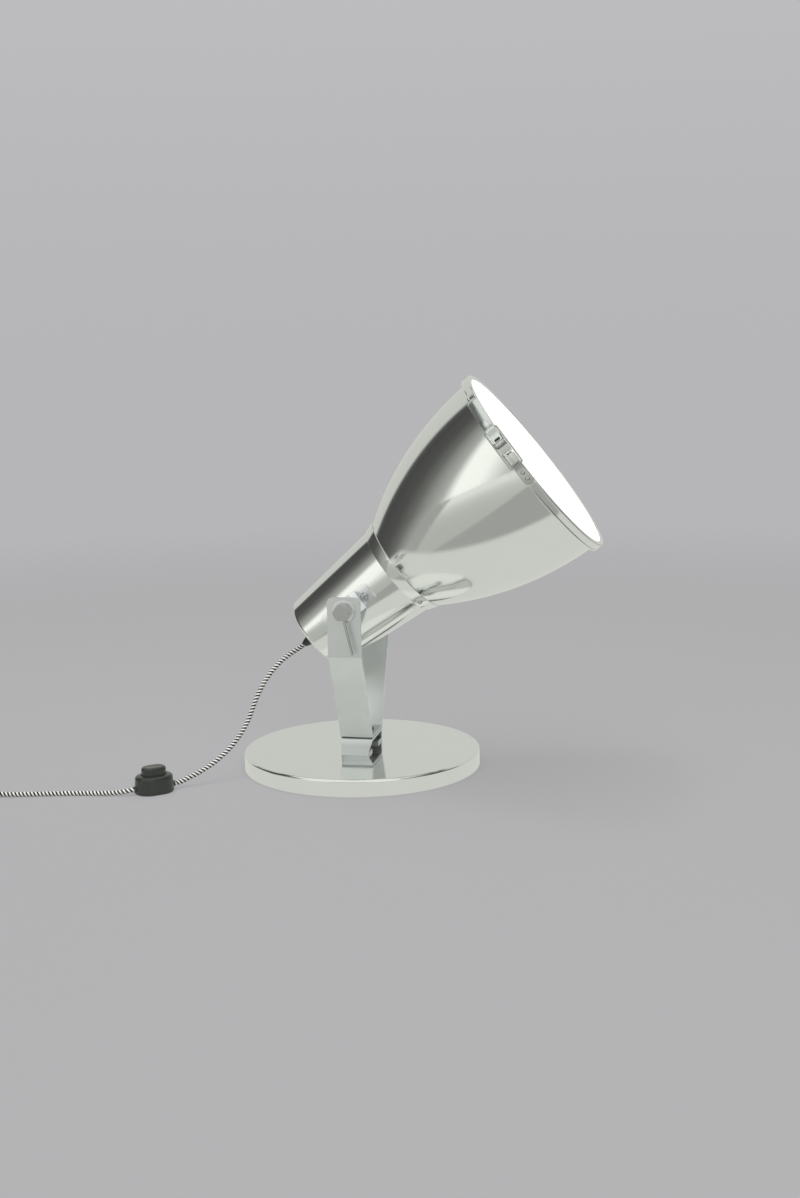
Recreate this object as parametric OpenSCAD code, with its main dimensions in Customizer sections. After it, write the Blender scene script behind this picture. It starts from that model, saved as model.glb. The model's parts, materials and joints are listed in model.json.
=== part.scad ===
// Floor uplighter: a weighted round base, a bent strip yoke and a tilting lamp head with a
// clamped glass front, fed by a braided flex with a foot switch. Millimetres, +Z up.
// The origin is the centre of the base's underside and the head aims towards +X.

/* [Base] */
// Diameter of the base
base_d = 350; // [300:1:420]
// Height of the base's top above the floor
base_h = 25; // [22:0.5:32]
// Radius of the base's top edge
base_edge_r = 6; // [3:0.5:8]
// Sheet thickness of the spun base cover
cover_wall = 2; // [1.5:0.25:3]
// Thickness of the felt under the base
felt_t = 2; // [1:0.5:3]
// Width of the bare rim left round the felt
felt_inset = 10; // [5:1:20]
// Thickness of the plate that closes the base
bottom_t = 2; // [1.5:0.5:3]
// Diameter of the iron ballast plate
ballast_d = 300; // [220:1:320]

/* [Foot and yoke] */
// Thickness of the foot bracket's strip
foot_t = 4; // [3:0.5:6]
// Width of the foot bracket's strip at its top
foot_w = 46; // [40:1:60]
// Width of the foot bracket's legs at the base
foot_low_w = 40; // [34:1:46]
// Height of the foot bracket's top above the base
foot_rise = 22; // [20:0.5:40]
// Distance across the foot bracket's top
foot_top_d = 64; // [58:1:80]
// Distance across the splayed legs at the base
foot_low_d = 93; // [86:1:110]
// Length of the turned in tabs under the legs
foot_tab = 26; // [22:1:28]
// Thickness of the yoke's strip
yoke_t = 4; // [3:0.5:6]
// Width of the yoke's strip
yoke_w = 48; // [40:1:60]
// Clear distance between the yoke's arms
yoke_gap = 184; // [180:1:200]
// Height of the bends in the yoke's arms above the floor
yoke_bend_h = 181; // [150:1:195]
// How far the arms rise past the pivot
yoke_past = 20; // [18:0.5:30]
// Radius of the rounded corners at the arms' tops
yoke_corner_r = 9; // [4:0.5:14]
// Inside radius of the bends in the strips
bend_r = 1.5; // [1:0.5:5]
// Diameter of the bolts in the base and the yoke
bolt_d = 8; // [6:0.5:9]
// Distance between the two bolts in the yoke's web
yoke_bolt_gap = 22; // [18:1:26]

/* [Pivot] */
// Height of the pivot axis above the floor
pivot_h = 246; // [235:1:265]
// Angle of the head above level
aim = 38; // [20:1:60]
// Diameter of the clamp screw and the pivot bolt
pivot_d = 10; // [8:0.5:12]
// Diameter of the pivot washers
washer_d = 32; // [26:1:36]
// Thickness of the pivot washers
washer_t = 3; // [2:0.5:4]
// Width across the flats of the clamp screw's head
screw_af = 22; // [18:0.5:26]
// Height of the clamp screw's head
screw_head_h = 13; // [10:0.5:16]
// Diameter of the tommy bar
bar_d = 3.6; // [3:0.1:5]
// Length of the tommy bar below the screw's axis
bar_l = 62; // [45:1:80]
// Angle of the tommy bar from straight down
bar_lean = 13; // [0:1:30]

/* [Lamp housing] */
// Outer radius of the housing at the pivot
housing_r0 = 64.4; // [60:0.2:68]
// Growth of the housing's radius per millimetre forwards
housing_slope = 0.09; // [0.05:0.01:0.12]
// Length of the housing behind the pivot
housing_back = 81; // [76:1:95]
// Length of the housing in front of the pivot
housing_front = 88; // [87:0.5:90]
// Sheet thickness of the housing
housing_wall = 2; // [1.5:0.25:3]
// Radius of the housing's back corner
housing_corner_r = 6; // [4:0.5:9]
// Width of the side brackets
bracket_w = 30; // [26:1:44]
// Sheet thickness of the side brackets
bracket_t = 2.5; // [2:0.25:3]
// Half length of the side brackets' raised web
bracket_web = 17; // [14:0.5:18]
// Distance from the pivot to the brackets' lower folds
bracket_fold = 22; // [20:0.5:25]
// Distance from the pivot to the brackets' ends
bracket_end = 43; // [38:0.5:48]
// Distance from the pivot to the brackets' rivets
bracket_rivet = 32; // [30:0.5:36]

/* [Collar and bell] */
// Distance from the pivot to the collar's back edge
collar_back = 77; // [74:0.5:78]
// Length of the collar along the lamp axis
collar_l = 17; // [16:0.5:22]
// Thickness of the collar at its back edge
collar_t = 1.9; // [1.4:0.1:2.4]
// Outer radius of the bell where it meets the front ring
bell_r = 145.5; // [138:0.5:146]
// Radius of the arc that the bell's side follows
bell_arc_r = 455; // [440:1:500]
// Sheet thickness of the bell
bell_wall = 2; // [1.5:0.25:2.5]
// Distance from the pivot to the front of the head
head_front = 333; // [325:1:340]

/* [Front ring and latch] */
// Outer radius of the front ring
ring_r = 152; // [151.5:0.5:156]
// Sheet thickness of the front ring
ring_t = 2; // [1.5:0.25:2]
// Width of the lip in front of the glass
ring_lip = 8; // [6:0.5:10]
// Thickness of the glass
glass_t = 4.5; // [3:0.5:5]
// Thickness of the gasket behind the glass
gasket_t = 2.5; // [1.5:0.5:3]
// Angle of the latch hook above the near side of the ring
hook_angle = 4; // [-10:1:10]
// Angle from the latch hook to the lever's pin
pin_step = 12.5; // [11:0.5:14]
// Angle from the lever's pin to the bail's pivot
bail_step = 8.5; // [7:0.5:10]
// Angle that the lever spans past its pin
lever_span = 31; // [24:1:60]
// Width of the lever's leaf
leaf_w = 18; // [14:0.5:20]
// Diameter of the bail's wire
wire_d = 2.4; // [2:0.1:3]

/* [Lamp] */
// Radius of the bulb's globe
bulb_r = 47.5; // [35:0.5:55]
// Distance from the pivot to the globe's centre
bulb_at = 100; // [95:1:115]
// Radius of the lamp holder
holder_r = 22; // [20:0.5:26]

/* [Flex and switch] */
// Diameter of the braided flex
cord_d = 6.5; // [5:0.5:7]
// Length of the cable gland behind the housing
gland_l = 26; // [20:1:30]
// Length of the foot switch
switch_l = 56; // [50:1:70]
// Width of the foot switch
switch_w = 44; // [34:1:50]
// Height of the foot switch's body
switch_h = 26; // [24:0.5:32]
// Length of the switch button
button_l = 35; // [24:0.5:38]
// Width of the switch button
button_w = 25; // [14:0.5:28]
// How far the button stands above the body
button_rise = 11; // [7:0.5:14]
// Turns in the coil of spare flex
coil_turns = 6; // [4:2:8]
// Mean radius of the coil
coil_r = 37; // [35:0.5:39]

/* [Hidden] */
$fn = 96;

// Clearances and small steps
run_fit = 0.05;
seat_fit = 0.05;
slide_gap = 0.3;
past = 1;
rim_lift = 0.5;

// Colours
ALU = [0.80, 0.81, 0.79];
ZINC = [0.69, 0.72, 0.69];
STEEL = [0.62, 0.64, 0.63];
IRON = [0.25, 0.25, 0.26];
BLACK = [0.10, 0.10, 0.10];
DARK = [0.20, 0.21, 0.20];
WHITE = [0.96, 0.96, 0.94];

// Places of the strips, the pivot and the head
foot_top = base_h + foot_rise;
web_z = foot_top + yoke_t / 2;
arm_y = yoke_gap / 2;
arm_out = arm_y + yoke_t;
arm_top = pivot_h + yoke_past;
ballast_top = base_h - cover_wall;
bolt_head_h = 0.65 * bolt_d;
bolt_af = 1.6 * bolt_d;
nut_h = 0.8 * bolt_d;
hole_r = bolt_d / 2 + seat_fit;
least_r = 0.5;

// The foot's bolts stand clear of its legs, which lean in over the nuts
leg_lean = (foot_low_d - foot_top_d) / 2 / (foot_rise - foot_t);
leg_in = foot_low_d / 2 - leg_lean * (foot_t / 2 + nut_h + past) - foot_t / 2 * sqrt(1 + leg_lean ^ 2);
tab_bolt_y = leg_in - bolt_af / 2 - slide_gap;

// Pivot hardware
pivot_af = 1.7 * pivot_d;
pivot_nut_h = 0.8 * pivot_d;
pivot_head_h = 0.65 * pivot_d;
screw_base_r = 0.75 * screw_af;
screw_top_r = 0.52 * screw_af;
bar_level = 0.55 * screw_head_h;

// The flange, gasket and glass behind the front ring's lip
lip_back = head_front - ring_t;
glass_back = lip_back - glass_t;
flange_front = glass_back - gasket_t;
flange_t = 2;
flange_back = flange_front - flange_t;
ring_back = flange_back - slide_gap - ring_t;
ring_w = head_front - ring_back;
ring_mid = head_front - ring_w / 2;
flange_r = ring_r - ring_t - slide_gap;
glass_r = flange_r - slide_gap;
lip_in_r = ring_r - ring_lip;
ring_gap = 0.6;

// The bell's neck sits inside the housing's mouth, and the collar covers the joint
neck_l = 28;
neck_front = housing_front + 2;
neck_back = neck_front - neck_l;
bell_steps = 24;
collar_front = collar_back + collar_l;
collar_edge = 0.6;
collar_screw_at = (collar_back + housing_front) / 2 + 2;
collar_screw_angles = [102, 207, 312];
collar_screw_r = 2;
collar_head_r = 4;
collar_head_h = 3.6;
collar_shank_l = 10;

// Rivets through the side brackets
rivet_r = 2;
rivet_head_r = 4.5;
rivet_head_h = 3;
bracket_chamfer = 3;

// Latch sizes
latch_w = 13;
pin_d = 4;
pin_rise = 5;
pin_r = ring_r + pin_rise;
barrel_r = 3;
lever_t = 2;
leaf_step = 3;
shank_step = 1;
leaf_dish = 1.6;
leaf_edge = 4;
barrel_rise = 1.5;
boss_wall = 1.5;
rivet_small_r = 1.5;
ear_t = 1;
ear_gap = 0.3;
wire_z = latch_w / 2 + ear_gap + ear_t + 2 * ear_gap + wire_d / 2;
hook_t = 2;
hook_w = 14;
tab_w = 11;
tab_t = 2.5;
tab_rise = 5.5;
hook_back = 12.5;
hook_rivets = [0.45, 0.75];
base_past = 5;
wire_gap = 0.4;
wire_r = ring_r + hook_t + wire_gap + wire_d / 2;
barrel_at = pin_r + barrel_rise;
deg_per_mm = 180 / (PI * pin_r);
wire_angle = hook_angle - (tab_t / 2 + wire_d / 2 + slide_gap) * deg_per_mm;
pin_angle = hook_angle + pin_step;
bail_angle = pin_angle + bail_step;
ring_split = hook_angle + pin_step / 2;
split_w = 2;

// Inside the housing
plate_back = -36;
plate_t = 2;
plate_r = 44;
plate_hole_r = 5;
posts = 3;
post_angle = 60;
post_r = 4;
post_pcd = 64;
holder_front = 14;
cap_r = 13.3;
cap_depth = 24;
glass_wall = 1.2;
bulb_neck_r = 17;
block_l = 24;
block_w = 14;
block_h = 12;
cap_out = 2;

// Gland and switch
gland_r = 9;
gland_tip_r = 4.8;
gland_flange = 5;
gland_taper = 11;
gland_tube_r = 6;
gland_tube_l = 12;
gland_nut_af = 2.6 * gland_tube_r;
gland_nut_h = 6;
gland_end = -housing_back - gland_l;
tray_h = 3;
switch_wall = 2;
boss_l = 1;
boss_r = cord_d / 2 + 1.2;
inlet_z = tray_h + boss_r;
switch_at = [-259, -182, 0];
switch_turn = 40;
cover_bow = 4;
cover_rounds = 3;
button_flange = 2;
button_crown = 3;
button_edge = 1.2;
button_travel = 3;
button_low = switch_h - switch_wall - slide_gap - button_flange;
spring_r = 5;
spring_wall = 1;
spring_shut = 4.7;
contact_top = button_low - button_travel - spring_shut;
contact_l = 24;
contact_w = 16;

// Route of the flex from the gland to the switch
LEAD_ROUTE = [[-84.3, 0, 180.1], [-92.2, 0, 173.9], [-104, -6, 166.5], [-117, -18, 156], [-128.5, -32, 142],
    [-137.5, -45, 126], [-144, -55, 110], [-149, -64, 93], [-154, -73, 77], [-161, -84, 62], [-170, -97, 48],
    [-181, -111, 36], [-192.5, -123.8, 26.5], [-203, -134.3, 20], [-212.5, -142.8, 15.2],
    [-221.5, -150.5, 11.4], [-226.5, -154.8, 9.2], [-231.4, -158.9, 7.8], [-236.8, -163.4, 7.5]];
// Route of the flex along the floor from the switch towards the coil
FLOOR_ROUTE = [[-281.2, -200.6, 7.5], [-285.8, -204.2, 7.2], [-292.5, -207.5, 6.2], [-303, -209.6, 4.9],
    [-317, -211, 3.9], [-332, -212.2, 3.4], [-348, -213.8, 3.3], [-366, -216.6, 3.3], [-385, -220, 3.3], [-405, -224.2, 3.3],
    [-425, -228.5, 3.3], [-446, -233, 3.5], [-466, -237.3, 4.3]];

// Coil of spare flex
cord_sides = 10;
coil_sides = 6;
coil_at = [-505, -294];
coil_layer = 7.1;
coil_pitch = 7.3;
coil_low = 4.8;
loop_rings = 24;
tail_rings = 5;
coil_in_r = coil_r - coil_turns * coil_pitch / 4;
coil_out_r = coil_in_r + coil_turns * coil_pitch / 2;
coil_start = 102.5;
tie_t = 1.2;
tie_w = 14;
tie_gap = 0.4;
tie_angle = 200;
lead_run = 16;
plug_r = 18.5;
plug_step = 3;
plug_front_l = 18;
plug_tail_l = 30;
plug_tail_r = 6;
plug_run = 48;
pin_pair = 19;
plug_pin_r = 2.4;
plug_pin_l = 19;

// Outlines of bent strips: each mark along the middle line is a point and a heading
function heading(a, b) = atan2(b[1] - a[1], b[0] - a[0]);
function turn(a, b) = let (d = b - a) d > 180 ? d - 360 : d < -180 ? d + 360 : d;
function bend_marks(p, i, r, n = 6) =
    let (h = heading(p[i - 1], p[i]))
    let (d = turn(h, heading(p[i], p[i + 1])))
    let (start = p[i] - r * tan(abs(d) / 2) * [cos(h), sin(h)])
    let (mid = start + sign(d) * r * [-sin(h), cos(h)])
    [for (k = [0:n]) let (a = h + d * k / n) [mid + sign(d) * r * [sin(a), -cos(a)], a]];
function strip_marks(p, r) =
    let (last = len(p) - 1)
    concat([[p[0], heading(p[0], p[1])]],
        [for (i = [1:last - 1]) each bend_marks(p, i, r)],
        [[p[last], heading(p[last - 1], p[last])]]);
function side_point(m, t) = m[0] + t * [-sin(m[1]), cos(m[1])];
function strip_outline(p, r, t) =
    let (m = strip_marks(p, r))
    concat([for (a = m) side_point(a, t / 2)],
        [for (k = [len(m) - 1:-1:0]) side_point(m[k], -t / 2)]);

// Profiles of the turned pieces
function housing_at(z) = housing_r0 + housing_slope * z;
function bell_at(z) = bell_r - bell_arc_r + sqrt(bell_arc_r ^ 2 - (head_front - z) ^ 2);
function quarter(c, r, from, to, n = 8) =
    [for (k = [0:n]) c + r * [cos(from + (to - from) * k / n), sin(from + (to - from) * k / n)]];

// Tubes swept along a route
function unit(v) = v / norm(v);
function square_to(v, t) = unit(v - (v * t) * t);
function tangents(p) =
    let (last = len(p) - 1)
    [for (i = [0:last]) unit(p[min(i + 1, last)] - p[max(i - 1, 0)])];
function carried(t, n) =
    [for (i = 0, v = square_to(n, t[0]); i < len(t); i = i + 1, v = square_to(v, t[min(i, len(t) - 1)])) v];

module tube(p, d, sides) {
    t = tangents(p);
    side = carried(t, [0, 0, 1] + 0.3 * [t[0][1], -t[0][0], 0]);
    rings = len(p);
    points = [for (i = [0:rings - 1], k = [0:sides - 1])
        let (a = 360 * k / sides)
        p[i] + d / 2 * (cos(a) * side[i] + sin(a) * cross(t[i], side[i]))];
    wall = [for (i = [0:rings - 2], k = [0:sides - 1])
        let (a = i * sides + k, b = i * sides + (k + 1) % sides)
        each [[a, a + sides, b], [b, a + sides, b + sides]]];
    last = (rings - 1) * sides;
    ends = [for (k = [1:sides - 2]) each [[0, k, k + 1], [last, last + k + 1, last + k]]];
    polyhedron(points, concat(wall, ends));
}

// A solid with straight sides and round ends that tapers from r1 to r2
module oval(l, r1, r2, h) {
    run = l - 2 * r1;
    for (s = [-1, 1])
        translate([s * run / 2, 0, 0])
            cylinder(r1 = r1, r2 = r2, h = h);
    translate([-run / 2, 0, 0])
        rotate([90, 0, 90])
            linear_extrude(run)
                polygon([[-r1, 0], [r1, 0], [r2, h], [-r2, h]]);
}

// A hexagon head or nut with its flats a given distance apart
module hexagon(af, h) {
    cylinder(d = af / cos(30), h = h, $fn = 6);
}

// A low domed head of radius r
module dome_head(r, h) {
    rotate_extrude()
        polygon(concat([[0, 0]], [for (k = [0:6]) [r * cos(15 * k), h * sin(15 * k)]]));
}

// A strip profile in the plane across the yoke, as wide as w along X
module strip_across(path, r, t, w) {
    rotate([90, 0, 90])
        linear_extrude(w, center = true)
            polygon(strip_outline(path, r, t));
}

// The head's own frame: its Z runs along the lamp axis from the pivot and its -X is upwards
module head_frame() {
    translate([0, 0, pivot_h])
        rotate([0, 90 - aim, 0])
            children();
}

// A place on the front ring: X runs round it, Y outwards and Z along the lamp axis
module at_rim(angle) {
    head_frame()
        rotate([0, 0, 180 - angle])
            translate([0, 0, ring_mid])
                children();
}

module switch_frame() {
    translate(switch_at)
        rotate([0, 0, switch_turn])
            children();
}

module both_ends() {
    for (a = [0, 180])
        rotate([0, 0, a])
            children();
}

// Base

module base_cover() {
    r = base_d / 2;
    e = base_edge_r;
    inner = max(e - cover_wall, least_r);
    color(ALU)
        difference() {
            rotate_extrude()
                polygon(concat([[0, ballast_top], [0, base_h]],
                    quarter([r - e, base_h - e], e, 90, 0),
                    [[r, rim_lift], [r - cover_wall, rim_lift]],
                    quarter([r - cover_wall - inner, ballast_top - inner], inner, 0, 90)));
            both_ends()
                translate([0, tab_bolt_y, 0])
                    cylinder(r = hole_r, h = base_h + past);
        }
}

module ballast_plate() {
    low = felt_t + bottom_t;
    color(IRON)
        difference() {
            translate([0, 0, low])
                cylinder(d = ballast_d, h = ballast_top - low);
            both_ends()
                translate([0, tab_bolt_y, 0]) {
                    cylinder(r = hole_r, h = base_h);
                    cylinder(d = bolt_af / cos(30) + 2 * past, h = low + bolt_head_h + past);
                }
        }
}

module bottom_plate() {
    color(STEEL)
        translate([0, 0, felt_t])
            cylinder(r = base_d / 2 - cover_wall - seat_fit, h = bottom_t);
}

module base_felt() {
    color(BLACK)
        cylinder(r = base_d / 2 - felt_inset, h = felt_t);
}

// Foot and yoke

module foot_bracket() {
    half = foot_low_d / 2;
    low = half + leg_lean * (foot_t / 2 + past);
    path = [[-low, base_h - past], [-foot_top_d / 2, foot_top - foot_t / 2],
        [foot_top_d / 2, foot_top - foot_t / 2], [low, base_h - past]];
    color(ZINC)
        difference() {
            intersection() {
                union() {
                    strip_across(path, bend_r + foot_t / 2, foot_t, foot_w);
                    both_ends()
                        translate([-foot_w / 2, half - foot_tab, base_h - past])
                            cube([foot_w, foot_tab, foot_t + past]);
                }
                rotate([90, 0, 0])
                    linear_extrude(2 * foot_low_d, center = true)
                        polygon([[-foot_low_w / 2, base_h], [foot_low_w / 2, base_h],
                            [foot_low_w / 2, base_h + foot_t], [foot_w / 2, foot_top - foot_t],
                            [foot_w / 2, foot_top + past], [-foot_w / 2, foot_top + past],
                            [-foot_w / 2, foot_top - foot_t], [-foot_low_w / 2, base_h + foot_t]]);
            }
            both_ends() {
                translate([0, tab_bolt_y, base_h - past])
                    cylinder(r = hole_r, h = foot_t + 2 * past);
                translate([yoke_bolt_gap / 2, 0, foot_top - foot_t - past])
                    cylinder(r = hole_r, h = foot_t + 2 * past);
            }
        }
}

module foot_bolts() {
    tip = base_h + foot_t + nut_h + past;
    head_z = felt_t + bottom_t + past;
    color(STEEL)
        both_ends()
            translate([0, tab_bolt_y, head_z]) {
                hexagon(bolt_af, bolt_head_h);
                cylinder(d = bolt_d, h = tip - head_z);
            }
}

module foot_nuts() {
    color(STEEL)
        both_ends()
            translate([0, tab_bolt_y, base_h + foot_t])
                difference() {
                    hexagon(bolt_af, nut_h);
                    translate([0, 0, -past])
                        cylinder(r = hole_r, h = nut_h + 2 * past);
                }
}

module yoke() {
    y = arm_y + yoke_t / 2;
    path = [[-y, arm_top], [-y, yoke_bend_h], [-foot_top_d / 2, web_z], [foot_top_d / 2, web_z],
        [y, yoke_bend_h], [y, arm_top]];
    c = yoke_corner_r;
    color(ZINC)
        difference() {
            intersection() {
                strip_across(path, bend_r + yoke_t / 2, yoke_t, yoke_w);
                rotate([90, 0, 0])
                    linear_extrude(3 * arm_out, center = true)
                        union() {
                            translate([-yoke_w / 2, 0])
                                square([yoke_w, arm_top - c]);
                            translate([c - yoke_w / 2, 0])
                                square([yoke_w - 2 * c, arm_top]);
                            for (s = [-1, 1])
                                translate([s * (yoke_w / 2 - c), arm_top - c])
                                    circle(c);
                        }
            }
            both_ends()
                translate([yoke_bolt_gap / 2, 0, foot_top - past])
                    cylinder(r = hole_r, h = yoke_t + 2 * past);
            translate([0, 0, pivot_h])
                rotate([90, 0, 0])
                    cylinder(r = pivot_d / 2 + run_fit, h = 3 * arm_out, center = true);
        }
}

module yoke_bolts() {
    tip = foot_top - foot_t - nut_h - past;
    color(STEEL)
        both_ends()
            translate([yoke_bolt_gap / 2, 0, 0]) {
                translate([0, 0, foot_top + yoke_t])
                    hexagon(bolt_af, bolt_head_h);
                translate([0, 0, tip])
                    cylinder(d = bolt_d, h = foot_top + yoke_t - tip + past);
            }
}

module yoke_nuts() {
    color(STEEL)
        both_ends()
            translate([yoke_bolt_gap / 2, 0, foot_top - foot_t - nut_h])
                difference() {
                    hexagon(bolt_af, nut_h);
                    translate([0, 0, -past])
                        cylinder(r = hole_r, h = nut_h + 2 * past);
                }
}

// Lamp housing and its side brackets

module housing_solid(grow) {
    back = -housing_back - grow;
    rotate_extrude()
        polygon([[0, back], [housing_at(back) + grow, back],
            [housing_at(housing_front) + grow, housing_front], [0, housing_front]]);
}

module lamp_housing() {
    c = housing_corner_r;
    w = housing_wall;
    back = -housing_back;
    corner = housing_at(back + c);
    color(ALU)
        head_frame()
            difference() {
                rotate_extrude()
                    polygon(concat([[gland_tube_r + seat_fit, back]],
                        quarter([corner - c, back + c], c, -90, 0),
                        [[housing_at(housing_front), housing_front],
                            [housing_at(housing_front) - w, housing_front],
                            [corner - w, back + c]],
                        quarter([corner - c, back + c], c - w, 0, -90),
                        [[gland_tube_r + seat_fit, back + w]]));
                for (z = [-1, 1])
                    translate([0, 0, z * bracket_rivet])
                        rotate([90, 0, 0])
                            cylinder(r = rivet_r + seat_fit, h = 3 * housing_r0, center = true);
                collar_holes();
            }
}

// The bracket's web stands just inside the arm, on walls that slope down to saddles on the housing
module side_bracket() {
    web_y = arm_y - slide_gap - bracket_t / 2;
    wall_foot = housing_r0 - past;
    path = [[-bracket_fold, wall_foot], [-bracket_web, web_y], [bracket_web, web_y],
        [bracket_fold, wall_foot]];
    head_frame()
        mirror([0, 1, 0])
            difference() {
                union() {
                    rotate([0, -90, 0])
                        linear_extrude(bracket_w, center = true)
                            polygon(strip_outline(path, bend_r + bracket_t / 2, bracket_t));
                    intersection() {
                        difference() {
                            housing_solid(bracket_t);
                            cube([2 * bracket_w, 4 * arm_y, 2 * (bracket_fold - bracket_t)], center = true);
                        }
                        rotate([90, 0, 0])
                            translate([0, 0, -arm_y])
                                linear_extrude(arm_y)
                                    chamfered(bracket_w, 2 * bracket_end, bracket_chamfer);
                    }
                }
                housing_solid(seat_fit);
                rotate([-90, 0, 0])
                    cylinder(r = pivot_d / 2 + run_fit, h = 2 * arm_y);
                for (z = [-1, 1])
                    translate([0, 0, z * bracket_rivet])
                        rotate([-90, 0, 0])
                            cylinder(r = rivet_r + seat_fit, h = 2 * arm_y);
            }
}

// A rectangle about the origin with cut corners
module chamfered(w, l, c) {
    x = w / 2;
    y = l / 2;
    polygon([[c - x, -y], [x - c, -y], [x, c - y], [x, y - c],
        [x - c, y], [c - x, y], [-x, y - c], [-x, c - y]]);
}

module bracket_near() {
    color(ZINC)
        side_bracket();
}

module bracket_far() {
    color(ZINC)
        mirror([0, 1, 0])
            side_bracket();
}

module bracket_rivets() {
    grip = housing_wall + bracket_t + past;
    color(STEEL)
        head_frame()
            for (s = [0, 180], z = [-1, 1]) {
                seat = housing_at(z * bracket_rivet) + bracket_t + rivet_head_r * housing_slope + seat_fit;
                rotate([0, 0, s])
                    translate([0, -seat, z * bracket_rivet])
                        rotate([90, 0, 0]) {
                            dome_head(rivet_head_r, rivet_head_h);
                            translate([0, 0, -grip])
                                cylinder(r = rivet_r, h = grip);
                        }
            }
}

// Nuts welded inside the brackets' webs
module bracket_nuts() {
    seat = arm_y - slide_gap - bracket_t;
    color(STEEL)
        head_frame()
            for (s = [0, 180])
                rotate([0, 0, s])
                    translate([0, -seat + pivot_nut_h, 0])
                        rotate([90, 0, 0])
                            difference() {
                                hexagon(pivot_af, pivot_nut_h);
                                translate([0, 0, -past])
                                    cylinder(r = pivot_d / 2 + run_fit, h = pivot_nut_h + 2 * past);
                            }
}

// Pivot hardware

module pivot_frame(side) {
    translate([0, 0, pivot_h])
        rotate([side > 0 ? -90 : 90, 0, 0])
            children();
}

module pivot_shank(under) {
    reach = 2 * bracket_t + pivot_d;
    translate([0, 0, arm_y - reach])
        cylinder(d = pivot_d, h = under - arm_y + reach);
}

module clamp_screw() {
    under = arm_out + washer_t;
    color(STEEL)
        pivot_frame(-1)
            difference() {
                union() {
                    pivot_shank(under + past);
                    translate([0, 0, under])
                        intersection() {
                            hexagon(screw_af, screw_head_h);
                            cylinder(r1 = screw_base_r, r2 = screw_top_r, h = screw_head_h);
                        }
                }
                bar_place(bar_d / 2 + seat_fit);
            }
}

// The bar hangs from the middle of the screw's head, leaning towards the lamp's front
module bar_place(r) {
    translate([0, 0, arm_out + washer_t + bar_level])
        rotate([0, 0, 180 + bar_lean])
            rotate([-90, 0, 0])
                cylinder(r = r, h = bar_l);
}

module tommy_bar() {
    color(STEEL)
        pivot_frame(-1)
            bar_place(bar_d / 2);
}

module pivot_disc() {
    translate([0, 0, arm_out])
        difference() {
            cylinder(d = washer_d, h = washer_t);
            translate([0, 0, -past])
                cylinder(r = pivot_d / 2 + run_fit, h = washer_t + 2 * past);
        }
}

module clamp_washer() {
    color(ZINC)
        pivot_frame(-1)
            pivot_disc();
}

module pivot_bolt() {
    under = arm_out + washer_t;
    color(STEEL)
        pivot_frame(1) {
            pivot_shank(under + past);
            translate([0, 0, under])
                hexagon(pivot_af, pivot_head_h);
        }
}

module pivot_washer() {
    color(ZINC)
        pivot_frame(1)
            pivot_disc();
}

// Collar and bell

module at_collar(angle) {
    rotate([0, 0, 180 - angle])
        translate([0, 0, collar_screw_at])
            rotate([-90, 0, 0])
                children();
}

module collar_holes() {
    for (a = collar_screw_angles)
        at_collar(a)
            cylinder(r = collar_screw_r + seat_fit, h = 2 * housing_at(collar_back));
}

// The collar's outside is a cone from the housing's mouth to the bell
collar_back_r = housing_at(collar_back) + 2 * seat_fit + collar_t;
collar_front_r = bell_at(collar_front) + 2 * seat_fit + collar_edge;
function collar_out(z) = collar_back_r + (collar_front_r - collar_back_r) * (z - collar_back) / collar_l;
collar_seat = collar_out(collar_screw_at - collar_head_r);

module collar_ring() {
    mouth_r = housing_at(housing_front) + 2 * seat_fit;
    color(ALU)
        head_frame()
            difference() {
                rotate_extrude()
                    polygon([[collar_back_r - collar_t, collar_back], [mouth_r, housing_front],
                        [mouth_r, neck_front], [collar_front_r - collar_edge, collar_front],
                        [collar_front_r, collar_front], [collar_back_r, collar_back]]);
                collar_holes();
                for (a = collar_screw_angles)
                    at_collar(a)
                        translate([0, 0, collar_seat])
                            cylinder(r = collar_head_r + slide_gap, h = collar_head_h);
            }
}

module collar_screws() {
    color(STEEL)
        head_frame()
            for (a = collar_screw_angles)
                at_collar(a) {
                    translate([0, 0, collar_seat])
                        dome_head(collar_head_r, collar_head_h);
                    translate([0, 0, collar_seat - collar_shank_l])
                        cylinder(r = collar_screw_r, h = collar_shank_l);
                }
}

module reflector_bell() {
    neck_in = housing_wall + 2 * seat_fit;
    side_l = flange_back - collar_front;
    outer = concat([for (z = [neck_back, neck_front]) [housing_at(z) - neck_in, z]],
        [for (k = [0:bell_steps]) let (z = collar_front + side_l * k / bell_steps) [bell_at(z), z]]);
    count = len(outer);
    color(ALU)
        head_frame()
            difference() {
                rotate_extrude()
                    polygon(concat(outer,
                        [[flange_r, flange_back], [flange_r, flange_front],
                            [bell_at(flange_back) - bell_wall, flange_front]],
                        [for (k = [count - 1:-1:0]) outer[k] - [bell_wall, 0]]));
                collar_holes();
            }
}

// Glass front

module turned_ring(in_r, out_r, low, high) {
    head_frame()
        rotate_extrude()
            polygon([[in_r, low], [out_r, low], [out_r, high], [in_r, high]]);
}

module front_gasket() {
    color(BLACK)
        turned_ring(lip_in_r, glass_r, flange_front, glass_back);
}

module lens_glass() {
    color(WHITE)
        head_frame()
            translate([0, 0, glass_back])
                cylinder(r = glass_r, h = glass_t);
}

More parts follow.
